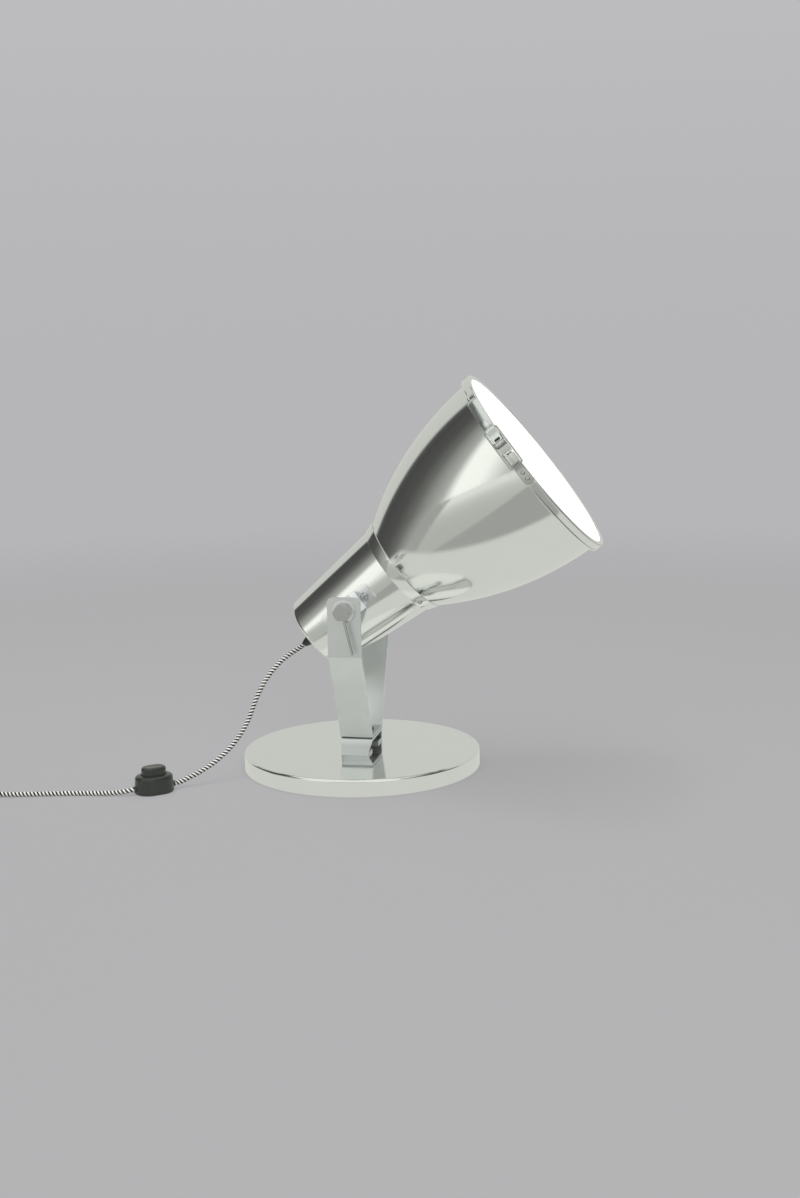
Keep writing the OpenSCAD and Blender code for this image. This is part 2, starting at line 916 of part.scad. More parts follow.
module front_ring() {
    inner = ring_r - ring_t;
    back_lip = bell_at(ring_back + ring_t) + ring_gap;
    color(ALU)
        difference() {
            head_frame()
                rotate_extrude()
                    polygon([[back_lip, ring_back], [ring_r, ring_back], [ring_r, head_front],
                        [lip_in_r, head_front], [lip_in_r, lip_back], [inner, lip_back],
                        [inner, ring_back + ring_t], [back_lip, ring_back + ring_t]]);
            at_rim(ring_split)
                translate([0, ring_r, 0])
                    cube([split_w, 2 * (ring_r - lip_in_r) + 2 * past, 2 * ring_w], center = true);
        }
}

// Latch

// A strip that follows the ring between two angles, with its section given as radius and width
module rim_profile(from, to, section) {
    at_rim(to)
        rotate([0, 0, 90])
            rotate_extrude(angle = to - from)
                polygon(section);
}

module rim_plate(from, to, low, high, w) {
    rim_profile(from, to, [[low, -w / 2], [high, -w / 2], [high, w / 2], [low, w / 2]]);
}

module latch_hook() {
    end = hook_angle - hook_back;
    color(ZINC)
        difference() {
            union() {
                rim_plate(end, hook_angle + tab_t / 2 * deg_per_mm, ring_r, ring_r + hook_t, hook_w);
                at_rim(hook_angle)
                    translate([-tab_t / 2, ring_r + hook_t / 2, -tab_w / 2])
                        cube([tab_t, tab_rise, tab_w]);
            }
            at_hook_rivets()
                cylinder(r = rivet_small_r + seat_fit, h = 2 * hook_t);
        }
}

// The hook's two rivets stand on its plate, with Z outwards from the ring's surface
module at_hook_rivets() {
    for (share = hook_rivets)
        at_rim(hook_angle - share * hook_back)
            rotate([-90, 0, 0])
                translate([0, 0, ring_r])
                    children();
}

module latch_rivets() {
    color(STEEL)
        at_hook_rivets() {
            cylinder(r = rivet_small_r, h = hook_t);
            translate([0, 0, hook_t])
                dome_head(2 * rivet_small_r, hook_t);
        }
}

// A shallow channel on the ring: two ears carry the lever's pin
module latch_base() {
    ear_z = latch_w / 2 + ear_gap;
    wide = 2 * (ear_z + ear_t);
    color(ZINC)
        difference() {
            union() {
                rim_plate(ring_split + 2 * split_w * deg_per_mm, pin_angle + base_past,
                    ring_r, ring_r + ear_t, wide);
                for (s = [-1, 1])
                    at_rim(pin_angle)
                        translate([0, 0, s > 0 ? ear_z : -ear_z - ear_t]) {
                            translate([-pin_d, ring_r + ear_t / 2, 0])
                                cube([2 * pin_d, pin_rise - ear_t / 2, ear_t]);
                            translate([0, pin_r, 0])
                                cylinder(r = pin_d, h = ear_t);
                        }
            }
            at_rim(pin_angle)
                translate([0, pin_r, 0])
                    cylinder(r = pin_d / 2 + seat_fit, h = 2 * wide, center = true);
        }
}

module latch_pin() {
    l = latch_w + 2 * ear_gap + 2 * ear_t;
    color(STEEL)
        at_rim(pin_angle)
            translate([0, pin_r, 0])
                cylinder(d = pin_d, h = l, center = true);
}

// The lever is a narrow shank between the ears and a wider dished leaf with a round end
module latch_lever() {
    low = pin_r - lever_t / 2;
    leaf_from = bail_angle + leaf_step;
    leaf_to = pin_angle + lever_span;
    half = leaf_w / 2;
    tip = half * deg_per_mm;
    flat = half - leaf_edge;
    lift = low + leaf_dish;
    color(ZINC)
        difference() {
            union() {
                at_rim(pin_angle)
                    translate([0, pin_r, 0])
                        cylinder(r = pin_d / 2 + boss_wall, h = latch_w, center = true);
                rim_plate(pin_angle + shank_step, leaf_from + shank_step,
                    low - run_fit, low + lever_t + run_fit, latch_w);
                rim_profile(leaf_from, leaf_to,
                    [[lift, -half], [lift + lever_t, -half], [low + lever_t, -flat], [low + lever_t, flat],
                        [lift + lever_t, half], [lift, half], [low, flat], [low, -flat]]);
                at_rim(bail_angle)
                    translate([0, barrel_at, 0])
                        cylinder(r = barrel_r, h = latch_w, center = true);
            }
            at_rim(pin_angle)
                translate([0, pin_r, 0])
                    cylinder(r = pin_d / 2 + run_fit, h = 2 * latch_w, center = true);
            at_rim(bail_angle)
                translate([0, barrel_at, 0])
                    cylinder(r = wire_d / 2 + run_fit, h = 2 * latch_w, center = true);
            at_rim(leaf_to - tip)
                rotate([-90, 0, 0])
                    translate([0, 0, low - 2 * lever_t])
                        difference() {
                            translate([0, -leaf_w, 0])
                                cube([leaf_w, 2 * leaf_w, 5 * lever_t]);
                            translate([0, 0, -past])
                                cylinder(r = half, h = 6 * lever_t);
                        }
        }
}

// A wire loop from the lever's barrel to the hook
module latch_bail() {
    a = barrel_at * [sin(bail_angle - wire_angle), cos(bail_angle - wire_angle)];
    b = [0, wire_r];
    l = norm(a - b);
    stub = wire_z - past;
    color(STEEL)
        at_rim(wire_angle)
            for (s = [-1, 1])
                translate([b[0], b[1], s * wire_z])
                    rotate([0, 0, heading(b, a)]) {
                        sphere(d = wire_d);
                        rotate([0, 90, 0])
                            cylinder(d = wire_d, h = l);
                        translate([0, 0, s > 0 ? -wire_z : 0])
                            cylinder(d = wire_d, h = wire_z);
                        translate([l, 0, 0]) {
                            sphere(d = wire_d);
                            translate([0, 0, s > 0 ? -stub : 0])
                                cylinder(d = wire_d, h = stub);
                        }
                    }
}

// Inside the housing

module holder_plate() {
    color(STEEL)
        head_frame()
            translate([0, 0, plate_back])
                difference() {
                    cylinder(r = plate_r, h = plate_t);
                    translate([0, 0, -past])
                        cylinder(r = plate_hole_r, h = plate_t + 2 * past);
                }
}

module holder_posts() {
    low = housing_wall - housing_back;
    color(STEEL)
        head_frame()
            for (k = [0:posts - 1])
                rotate([0, 0, post_angle + 360 * k / posts])
                    translate([post_pcd / 2, 0, low])
                        cylinder(r = post_r, h = plate_back - low);
}

module lamp_holder() {
    low = plate_back + plate_t;
    color(WHITE)
        head_frame()
            difference() {
                translate([0, 0, low])
                    cylinder(r = holder_r, h = holder_front - low);
                translate([0, 0, holder_front - cap_depth])
                    cylinder(r = cap_r + seat_fit, h = cap_depth + past);
            }
}

module bulb_cap() {
    color(ZINC)
        head_frame()
            translate([0, 0, holder_front - cap_depth])
                cylinder(r = cap_r, h = cap_depth + cap_out);
}

module bulb_form(inset) {
    low = holder_front + cap_out;
    translate([0, 0, bulb_at])
        sphere(r = bulb_r - inset);
    translate([0, 0, low + inset])
        cylinder(r1 = cap_r - inset, r2 = bulb_neck_r - inset, h = bulb_at - low - inset);
}

module bulb_glass() {
    color(WHITE)
        head_frame()
            difference() {
                bulb_form(0);
                bulb_form(glass_wall);
            }
}

module terminal_block() {
    color(WHITE)
        head_frame()
            translate([-block_l / 2, -block_w / 2, plate_back - block_h])
                cube([block_l, block_w, block_h]);
}

module inner_cable() {
    low = gland_end + slide_gap;
    color(DARK)
        head_frame()
            translate([0, 0, low])
                cylinder(d = cord_d, h = plate_back - block_h - low);
}

module gland_nut() {
    low = housing_wall - housing_back;
    color(BLACK)
        head_frame()
            translate([0, 0, low])
                difference() {
                    hexagon(gland_nut_af, gland_nut_h);
                    translate([0, 0, -past])
                        cylinder(r = gland_tube_r + seat_fit, h = gland_nut_h + 2 * past);
                }
}

module cable_gland() {
    back = -housing_back;
    color(BLACK)
        head_frame()
            rotate_extrude()
                polygon([[cord_d / 2 + seat_fit, gland_end], [gland_tip_r, gland_end],
                    [gland_r - 1, gland_end + gland_taper], [gland_r - 1, back - gland_flange],
                    [gland_r, back - gland_flange], [gland_r, back],
                    [gland_tube_r, back], [gland_tube_r, back + gland_tube_l],
                    [cord_d / 2 + seat_fit, back + gland_tube_l]]);
}

// Flex, switch, coil and plug

module cord_lead() {
    color(DARK)
        tube(LEAD_ROUTE, cord_d, cord_sides);
}

module switch_base() {
    color(BLACK)
        switch_frame()
            difference() {
                oval(switch_l, switch_w / 2, switch_w / 2, tray_h);
                translate([0, 0, switch_wall])
                    oval(switch_l - 2 * switch_wall, switch_w / 2 - switch_wall,
                        switch_w / 2 - switch_wall, tray_h);
            }
}

// The cover's side is straight and then rounds over towards the button
module cover_form(inset) {
    w = switch_w / 2 - inset;
    l = switch_l - 2 * inset;
    straight = switch_h - inset - cover_bow;
    oval(l, w, w, straight);
    for (k = [0:cover_rounds - 1]) {
        a = 90 * k / cover_rounds;
        b = 90 * (k + 1) / cover_rounds;
        low = cover_bow * (1 - cos(a));
        high = cover_bow * (1 - cos(b));
        translate([0, 0, straight + cover_bow * sin(a)])
            oval(l - 2 * low, w - low, w - high, cover_bow * (sin(b) - sin(a)));
    }
}

module switch_cover() {
    hole = button_w / 2 + slide_gap;
    color(DARK)
        switch_frame() {
            difference() {
                intersection() {
                    cover_form(0);
                    translate([-switch_l, -switch_w, tray_h])
                        cube([2 * switch_l, 2 * switch_w, switch_h]);
                }
                cover_form(switch_wall);
                oval(button_l + 2 * slide_gap, hole, hole, 2 * switch_h);
            }
            for (s = [-1, 1])
                translate([s * (switch_l / 2 - switch_wall), 0, inlet_z])
                    rotate([0, s * 90, 0])
                        cylinder(r = boss_r, h = switch_wall + boss_l);
        }
}

module switch_button() {
    r = button_w / 2;
    top = switch_h + button_rise;
    color(DARK)
        switch_frame() {
            translate([0, 0, button_low]) {
                oval(button_l + 2 * button_flange, r + button_flange, r + button_flange, button_flange);
                oval(button_l, r, r, top - button_crown - button_low);
            }
            translate([0, 0, top - button_crown])
                oval(button_l, r, r - button_edge, button_crown / 2);
            translate([0, 0, top - button_crown / 2])
                oval(button_l - 2 * button_edge, r - button_edge, r / 2, button_crown / 2);
        }
}

module switch_contacts() {
    color(WHITE)
        switch_frame()
            translate([-contact_l / 2, -contact_w / 2, switch_wall])
                cube([contact_l, contact_w, contact_top - switch_wall]);
}

module switch_spring() {
    color(STEEL)
        switch_frame()
            translate([0, 0, contact_top])
                difference() {
                    cylinder(r = spring_r, h = button_low - contact_top);
                    translate([0, 0, -past])
                        cylinder(r = spring_r - spring_wall, h = button_low);
                }
}

module cord_floor() {
    color(DARK)
        tube(concat(FLOOR_ROUTE, [run_in(2 * lead_run), run_in(lead_run)]), cord_d, cord_sides);
}

// The coil winds in on the floor, climbs a layer in the half turn about its middle and winds out
function ease(u) = let (v = min(max(u, 0), 1)) v * v * (3 - 2 * v);
function coil_place(t) =
    let (mid = coil_turns / 2)
    let (r = coil_in_r + coil_pitch * abs(t - mid))
    let (a = coil_start + 360 * t)
    [coil_at[0] + r * cos(a), coil_at[1] + r * sin(a), coil_low + coil_layer * ease(2 * (t - mid) + 0.5)];
function tail_place(u) =
    let (a = coil_start + 360 * coil_turns)
    let (p = coil_place(coil_turns))
    let (rise = ease(u * plug_run / (plug_run - 2 * cord_d)))
    [p[0] - plug_run * u * sin(a), p[1] + plug_run * u * cos(a), p[2] + rise * (plug_r - p[2])];
function run_in(l) = coil_place(0) + l * [sin(coil_start), -cos(coil_start), 0];
coil_loops = [for (k = [0:coil_turns * loop_rings]) coil_place(k / loop_rings)];
coil_route = concat([run_in(lead_run), run_in(lead_run - cord_d)], coil_loops,
    [for (k = [1:tail_rings]) tail_place(k / tail_rings)]);
loop_gaps = [for (i = [0:len(coil_loops) - 1])
    for (j = [i + loop_rings / 2:len(coil_loops) - 1])
        norm(coil_loops[i] - coil_loops[j]) - cord_d];
echo(least_coil_gap = min(loop_gaps));

module cord_coil() {
    color(DARK)
        tube(coil_route, cord_d, coil_sides);
}

module coil_tie() {
    in = coil_in_r - cord_d / 2 - tie_gap - coil_pitch / 2;
    out = coil_out_r + cord_d / 2 + tie_gap;
    high = coil_low + coil_layer + cord_d / 2 + tie_gap;
    color(BLACK)
        translate([coil_at[0], coil_at[1], 0])
            rotate([0, 0, tie_angle])
                difference() {
                    translate([in - tie_t, -tie_w / 2, 0])
                        cube([out - in + 2 * tie_t, tie_w, high + tie_t]);
                    translate([in, -tie_w, tie_t])
                        cube([out - in, 2 * tie_w, high - tie_t]);
                }
}

module plug_frame() {
    a = coil_start + 360 * coil_turns;
    translate(tail_place(1))
        rotate([0, 0, a + 90])
            rotate([0, 90, 0])
                children();
}

module plug_body() {
    color(BLACK)
        plug_frame()
            difference() {
                union() {
                    cylinder(r1 = plug_tail_r, r2 = plug_r - plug_step, h = plug_tail_l);
                    translate([0, 0, plug_tail_l])
                        cylinder(r = plug_r, h = plug_front_l);
                }
                for (s = [-1, 1])
                    translate([0, s * pin_pair / 2, plug_tail_l + plug_front_l / 2])
                        cylinder(r = plug_pin_r + seat_fit, h = plug_front_l);
            }
}

module plug_pins() {
    color(STEEL)
        plug_frame()
            for (s = [-1, 1])
                translate([0, s * pin_pair / 2, plug_tail_l + plug_front_l / 2])
                    cylinder(r = plug_pin_r, h = plug_front_l / 2 + plug_pin_l);
}

base_cover();
ballast_plate();
bottom_plate();
base_felt();
foot_bracket();
foot_bolts();
foot_nuts();
yoke();
yoke_bolts();
yoke_nuts();
lamp_housing();
bracket_near();
bracket_far();
bracket_rivets();
bracket_nuts();
clamp_screw();
tommy_bar();
clamp_washer();
pivot_bolt();
pivot_washer();
collar_ring();
collar_screws();
reflector_bell();
front_gasket();
lens_glass();
front_ring();
latch_hook();
latch_rivets();
latch_base();
latch_pin();
latch_lever();
latch_bail();
holder_plate();
holder_posts();
lamp_holder();
bulb_cap();
bulb_glass();
terminal_block();
inner_cable();
gland_nut();
cable_gland();
cord_lead();
switch_base();
switch_cover();
switch_button();
switch_contacts();
switch_spring();
cord_floor();
cord_coil();
coil_tie();
plug_body();
plug_pins();
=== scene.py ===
"""Floor uplighter: spun metal shells, strip yoke, latched glass front, foot switch and braided flex.

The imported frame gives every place. Lengths are metres, +Z is up and the head aims towards +X.
"""

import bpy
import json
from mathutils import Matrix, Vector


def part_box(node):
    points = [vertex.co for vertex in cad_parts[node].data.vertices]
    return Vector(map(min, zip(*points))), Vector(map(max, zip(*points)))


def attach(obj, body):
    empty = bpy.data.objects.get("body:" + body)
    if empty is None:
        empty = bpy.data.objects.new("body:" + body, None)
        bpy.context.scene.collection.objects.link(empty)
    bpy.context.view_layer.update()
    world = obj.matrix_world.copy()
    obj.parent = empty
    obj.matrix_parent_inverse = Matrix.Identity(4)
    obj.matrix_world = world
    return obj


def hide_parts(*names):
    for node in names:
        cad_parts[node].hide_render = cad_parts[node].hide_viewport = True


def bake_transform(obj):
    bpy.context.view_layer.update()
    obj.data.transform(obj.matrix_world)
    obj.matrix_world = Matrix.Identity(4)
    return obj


bl_info = {
    "name": "Floor Uplighter",
    "version": (1, 0, 0),
    "blender": (4, 5, 0),
    "location": "View3D > Sidebar > Uplighter",
    "description": "Finishes a tilting floor uplighter: spun shells, latch, foot switch and braided flex",
    "category": "Object",
}

import json
import math

import bmesh
import bpy
from bpy.props import FloatProperty, FloatVectorProperty, IntProperty, PointerProperty
from mathutils import Matrix, Vector

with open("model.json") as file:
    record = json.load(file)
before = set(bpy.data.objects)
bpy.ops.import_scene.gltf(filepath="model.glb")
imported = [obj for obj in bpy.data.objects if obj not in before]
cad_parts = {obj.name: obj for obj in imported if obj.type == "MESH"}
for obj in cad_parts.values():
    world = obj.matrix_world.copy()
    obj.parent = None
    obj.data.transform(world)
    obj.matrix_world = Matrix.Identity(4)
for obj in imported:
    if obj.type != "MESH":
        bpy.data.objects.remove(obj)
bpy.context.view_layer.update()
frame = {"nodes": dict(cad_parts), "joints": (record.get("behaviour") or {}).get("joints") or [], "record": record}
JOINTS = {joint["name"]: joint for joint in frame["joints"]}
BODY_OF = {node: body for body, nodes in frame["record"]["behaviour"]["bodies"].items() for node in nodes}
SLOT_OF = {part["node"]: part["material_slot"] for part in frame["record"]["subparts"]}


# Sizes and colours that a user would change

def length(label, text, value):
    """A length in metres."""
    return FloatProperty(name=label, description=text, default=value, subtype="DISTANCE", unit="LENGTH")


def angle(label, text, degrees):
    """An angle, given in degrees."""
    return FloatProperty(name=label, description=text, default=math.radians(degrees), subtype="ANGLE",
                         unit="ROTATION")


def colour(label, text, value):
    """A linear colour."""
    return FloatVectorProperty(name=label, description=text, default=value, size=3, min=0, max=1,
                               subtype="COLOR")


class HeadSizes(bpy.types.PropertyGroup):
    """Sizes of the base and of the turned shells of the head."""

    aim: angle("Aim", "Angle of the lamp axis above level", 38)
    base_radius: length("Base radius", "Radius of the base", 0.175)
    base_edge: length("Base edge", "Radius of the base's top edge", 0.006)
    sheet: length("Sheet", "Thickness of the spun sheet", 0.002)
    housing_radius: length("Housing radius", "Radius of the housing at the pivot", 0.0644)
    housing_slope: FloatProperty(name="Housing slope", default=0.09,
                                 description="Growth of the housing's radius per length")
    housing_back: length("Housing back", "Length of the housing behind the pivot", 0.081)
    housing_front: length("Housing front", "Length of the housing in front of the pivot", 0.088)
    housing_corner: length("Housing corner", "Radius of the housing's back corner", 0.006)
    collar_back: length("Collar back", "Distance from the pivot to the collar's back edge", 0.077)
    collar_length: length("Collar length", "Length of the collar", 0.017)
    collar_sheet: length("Collar sheet", "Thickness of the collar at its back edge", 0.0019)
    bell_radius: length("Bell radius", "Radius of the bell behind the front ring", 0.1455)
    bell_arc: length("Bell arc", "Radius of the arc that the bell's side follows", 0.455)
    head_front: length("Head front", "Distance from the pivot to the front of the head", 0.333)
    ring_radius: length("Ring radius", "Radius of the front ring", 0.152)
    ring_width: length("Ring width", "Width of the front ring's band", 0.0133)
    ring_lip: length("Ring lip", "Width of the lip in front of the glass", 0.008)
    gland_length: length("Gland length", "Length of the cable gland behind the housing", 0.026)


class LatchSizes(bpy.types.PropertyGroup):
    """Sizes of the latch on the front ring."""

    hook_angle: angle("Hook angle", "Angle of the hook above the near side of the ring", 4)
    hook_span: angle("Hook span", "Angle that the hook's plate covers", 12.5)
    pin_step: angle("Pin step", "Angle from the hook to the lever's pin", 12.5)
    bail_step: angle("Bail step", "Angle from the lever's pin to the bail's pivot", 8.5)
    lever_span: angle("Lever span", "Angle that the lever covers past its pin", 31)
    split: length("Split", "Width of the gap in the front ring", 0.002)
    leaf_width: length("Leaf width", "Width of the lever's leaf", 0.018)
    shank_width: length("Shank width", "Width of the lever at its pin", 0.013)
    hook_width: length("Hook width", "Width of the hook's plate", 0.014)
    wire: length("Wire", "Diameter of the bail's wire", 0.0024)


class FlexSizes(bpy.types.PropertyGroup):
    """Sizes of the flex, its coil, its plug and its foot switch."""

    diameter: length("Diameter", "Diameter of the braided flex", 0.0065)
    stripe: length("Stripe", "Distance from one dark stripe of the braid to the next", 0.0052)
    starts: IntProperty(name="Starts", description="Dark stripes that wind side by side", default=2)
    relief: length("Relief", "Height of the braid's yarns", 0.00014)
    coil_radius: length("Coil radius", "Mean radius of the coil", 0.037)
    coil_turns: IntProperty(name="Coil turns", description="Turns in the coil of spare flex", default=6)
    switch_length: length("Switch length", "Length of the foot switch", 0.056)
    switch_width: length("Switch width", "Width of the foot switch", 0.044)
    switch_height: length("Switch height", "Height of the foot switch's body", 0.026)
    button_length: length("Button length", "Length of the switch button", 0.035)
    button_width: length("Button width", "Width of the switch button", 0.025)
    button_rise: length("Button rise", "Height of the button above the body", 0.011)


class Finishes(bpy.types.PropertyGroup):
    """Colours of the finishes and of the stage."""

    aluminium: colour("Aluminium", "Polished spun aluminium", (0.90, 0.906, 0.896))
    satin: colour("Satin steel", "Satin zinc plated strip", (0.826, 0.851, 0.862))
    steel: colour("Steel", "Bright hardware", (0.58, 0.588, 0.578))
    pressed: colour("Pressed steel", "Bright pressed latch", (0.902, 0.91, 0.937))
    black: colour("Black plastic", "Moulded plastic", (0.034, 0.038, 0.034))
    yarn_dark: colour("Dark yarn", "Dark yarn of the braid", (0.012, 0.013, 0.012))
    yarn_pale: colour("Pale yarn", "Pale yarn of the braid", (0.95, 0.95, 0.93))
    glow: colour("Glow", "Light through the opal glass", (1.0, 1.0, 0.975))
    floor: colour("Floor", "Floor as the camera sees it", (0.43, 0.42, 0.437))
    backdrop: colour("Backdrop", "Backdrop behind the lamp", (0.47, 0.465, 0.48))


class UplighterSettings(bpy.types.PropertyGroup):
    """All the settings of the uplighter."""

    head: PointerProperty(type=HeadSizes)
    latch: PointerProperty(type=LatchSizes)
    flex: PointerProperty(type=FlexSizes)
    finish: PointerProperty(type=Finishes)


def settings():
    """The scene's settings for the uplighter."""
    return bpy.context.scene.uplighter


# Shader building

# Where most values of a noise texture lie
NOISE_SPREAD = (0.3, 0.7)


def connect(tree, node, links):
    """Links each named input of a node to a socket, or sets it to a value."""
    for name, source in links.items():
        if hasattr(source, "is_output"):
            tree.links.new(source, node.inputs[name])
        else:
            node.inputs[name].default_value = source


def add_node(tree, kind, links=None, **values):
    """A node of a tree with its settings, and its inputs linked or set as links say."""
    node = tree.nodes.new(kind)
    for key, value in values.items():
        setattr(node, key, value)
    connect(tree, node, links or {})
    return node


def maths(tree, operation, *values):
    """The result of a Math node on sockets or numbers."""
    return add_node(tree, "ShaderNodeMath", dict(enumerate(values)), operation=operation).outputs[0]


def vector_maths(tree, operation, *vectors, **inputs):
    """The vector or, for a length, the number that a Vector Math node gives."""
    links = {**dict(enumerate(vectors)), **inputs}
    node = add_node(tree, "ShaderNodeVectorMath", links, operation=operation)
    return node.outputs["Value" if operation == "LENGTH" else "Vector"]


def eased(tree, value, low, high, start=0.0, end=1.0):
    """A value that goes smoothly from start to end as its input goes from low to high."""
    links = {"Value": value, "From Min": low, "From Max": high, "To Min": start, "To Max": end}
    return add_node(tree, "ShaderNodeMapRange", links, interpolation_type="SMOOTHSTEP").outputs["Result"]


def spread(tree, grain, start, end):
    """A value that goes from start to end over a noise's usual values."""
    return eased(tree, grain, *NOISE_SPREAD, start, end)


def mixed(tree, share, first, second):
    """A colour between two, by share."""
    first, second = (c if hasattr(c, "is_output") else (*c, 1.0) for c in (first, second))
    # The Mix node lists its colours after the numbers and vectors that it can mix
    return add_node(tree, "ShaderNodeMix", {0: share, 6: first, 7: second}, data_type="RGBA").outputs[2]


def shades(tree, share, tint, low, high=1.0):
    """A tint that goes from a low to a high shade of itself, by share."""
    return mixed(tree, share, Vector(tint) * low, Vector(tint) * high)


def noise(tree, vector, scale, detail):
    """The value of a noise texture over a vector."""
    links = {"Vector": vector, "Scale": scale, "Detail": detail}
    return add_node(tree, "ShaderNodeTexNoise", links).outputs[0]


def object_place(tree, scale=(1.0, 1.0, 1.0)):
    """Object coordinates, stretched by scale."""
    place = add_node(tree, "ShaderNodeTexCoord").outputs["Object"]
    return add_node(tree, "ShaderNodeMapping", {"Vector": place, "Scale": scale}).outputs[0]


def new_finish(name, **values):
    """A material with a Principled shader whose plain sockets are set, and its tree and shader."""
    material = bpy.data.materials.new(name)
    material.use_nodes = True
    tree = material.node_tree
    shader = tree.nodes["Principled BSDF"]
    for key, value in values.items():
        shader.inputs[key.replace("_", " ")].default_value = value
    return material, tree, shader


def raise_surface(tree, shader, height, strength, distance):
    """Lets a height bend the shader's normal."""
    links = {"Height": height, "Strength": strength, "Distance": distance}
    connect(tree, shader, {"Normal": add_node(tree, "ShaderNodeBump", links).outputs[0]})


def spun_aluminium():
    """Polished aluminium with the fine rings that spinning leaves, along the outline's own length."""
    material, tree, shader = new_finish("spun_aluminium", Metallic=1.0, Anisotropic=0.55)
    uv = add_node(tree, "ShaderNodeUVMap", uv_map="turned").outputs[0]
    rings = add_node(tree, "ShaderNodeMapping", {"Vector": uv, "Scale": (1.0, 0.004, 1.0)}).outputs[0]
    fine = noise(tree, rings, scale=2600.0, detail=3.0)
    broad = noise(tree, rings, scale=240.0, detail=2.0)
    cloudy = noise(tree, object_place(tree), scale=24.0, detail=3.0)
    streak = maths(tree, "ADD", *(maths(tree, "MULTIPLY", *pair) for pair in ((fine, 0.6), (broad, 0.4))))
    tangent = add_node(tree, "ShaderNodeTangent", direction_type="UV_MAP", uv_map="turned").outputs[0]
    connect(tree, shader, {"Base Color": shades(tree, cloudy, settings().finish.aluminium, 0.97),
                           "Roughness": spread(tree, streak, 0.045, 0.14), "Tangent": tangent})
    raise_surface(tree, shader, streak, strength=0.045, distance=0.0001)
    return material


# Heights between which the strips' colour is scaled, and the scales there: a painted shade darkens the yoke's
# bend, which lies in the foot's shadow, and the foot is darker down its legs with a painted highlight on its top
# bend
YOKE_LEVELS = (0.0474, 0.0502)
YOKE_PAINTED_SHADE = (0.3, 1.0)
FOOT_LEVELS = (0.036, 0.0445)
FOOT_PAINTED_LIGHT = (0.84, 1.08)


def satin_steel(name, levels, painted_light):
    """Zinc plated strip: cloudy crystals and faint rolling lines, with painted shade and highlight that scale its
    colour from level to level.
    """
    material, tree, shader = new_finish(name, Metallic=1.0)
    cloudy = noise(tree, object_place(tree), scale=60.0, detail=4.0)
    lines = noise(tree, object_place(tree, (900.0, 900.0, 25.0)), scale=1.0, detail=2.0)
    height = add_node(tree, "ShaderNodeSeparateXYZ", {0: object_place(tree)}).outputs["Z"]
    plated = shades(tree, cloudy, settings().finish.satin, 0.95)
    # Painted shade and highlight: the plated colour is scaled by height
    painted_light_colour = vector_maths(tree, "SCALE", plated, Scale=eased(tree, height, *levels, *painted_light))
    connect(tree, shader, {"Base Color": painted_light_colour, "Roughness": spread(tree, cloudy, 0.34, 0.42)})
    raise_surface(tree, shader, lines, strength=0.04, distance=0.0001)
    return material


def bright_steel(name, tint, rough):
    """Bright hardware: turned or pressed and plated steel with fine handling marks."""
    material, tree, shader = new_finish(name, Metallic=1.0)
    marks = noise(tree, object_place(tree), scale=260.0, detail=3.0)
    connect(tree, shader, {"Base Color": shades(tree, marks, tint, 0.95),
                           "Roughness": spread(tree, marks, rough, rough + 0.06)})
    raise_surface(tree, shader, marks, strength=0.02, distance=0.0001)
    return material


def black_plastic():
    """Satin moulded plastic with a fine spark-eroded grain."""
    material, tree, shader = new_finish("black_plastic_finish", IOR=1.5)
    grain = noise(tree, object_place(tree), scale=2200.0, detail=2.0)
    cloudy = noise(tree, object_place(tree), scale=70.0, detail=3.0)
    connect(tree, shader, {"Base Color": shades(tree, cloudy, settings().finish.black, 0.85, 1.1),
                           "Roughness": spread(tree, cloudy, 0.2, 0.27)})
    raise_surface(tree, shader, grain, strength=0.08, distance=0.0002)
    return material


# How far stray fibres blur the stripes, and how soft the stripes' edges are, as shares of the winding's wave
STRAY_FIBRE = 0.4
STRIPE_EDGE = 0.12


def braided_yarn():
    """Black and white yarn, wound in stripes that follow the flex."""
    finish = settings().finish
    material, tree, shader = new_finish("braided_yarn", Roughness=0.85, Sheen_Weight=0.25)
    braid = add_node(tree, "ShaderNodeAttribute", attribute_name="braid").outputs["Vector"]
    cosine, sine, along = add_node(tree, "ShaderNodeSeparateXYZ", {0: braid}).outputs
    turn = maths(tree, "MULTIPLY", along, math.tau / settings().flex.stripe)
    wave = maths(tree, "ADD", maths(tree, "MULTIPLY", maths(tree, "COSINE", turn), cosine),
                 maths(tree, "MULTIPLY", maths(tree, "SINE", turn), sine))
    fibre = noise(tree, object_place(tree), scale=1800.0, detail=3.0)
    stray = maths(tree, "MULTIPLY", maths(tree, "SUBTRACT", fibre, 0.5), STRAY_FIBRE)
    share = eased(tree, maths(tree, "ADD", wave, stray), -STRIPE_EDGE, STRIPE_EDGE)
    pale = shades(tree, fibre, finish.yarn_pale, 0.92)
    connect(tree, shader, {"Base Color": mixed(tree, share, pale, finish.yarn_dark)})
    raise_surface(tree, shader, fibre, strength=0.2, distance=0.0002)
    return material


# How bright the lit glass is, and its colour without the light
GLASS_GLOW = 0.9
UNLIT_GLASS = (0.5, 0.5, 0.48)


def opal_glass():
    """Diffusing glass, lit from behind as far as the front ring's lip."""
    head = settings().head
    material, tree, shader = new_finish("opal_glass_lit", Roughness=0.25)
    milk = noise(tree, object_place(tree), scale=40.0, detail=2.0)
    place = add_node(tree, "ShaderNodeTexCoord").outputs["Object"]
    arm = vector_maths(tree, "SUBTRACT", place, tuple(JOINTS["head_tilt"]["pos_m"]))
    square = vector_maths(tree, "CROSS_PRODUCT", arm, tuple(lamp_axis()))
    radius = vector_maths(tree, "LENGTH", square)
    rim = head.ring_radius - head.ring_lip / 2
    connect(tree, shader, {"Base Color": shades(tree, milk, UNLIT_GLASS, 0.96),
                           "Emission Color": (*settings().finish.glow, 1.0),
                           "Emission Strength": eased(tree, radius, rim - head.sheet, rim, GLASS_GLOW, 0.0)})
    return material


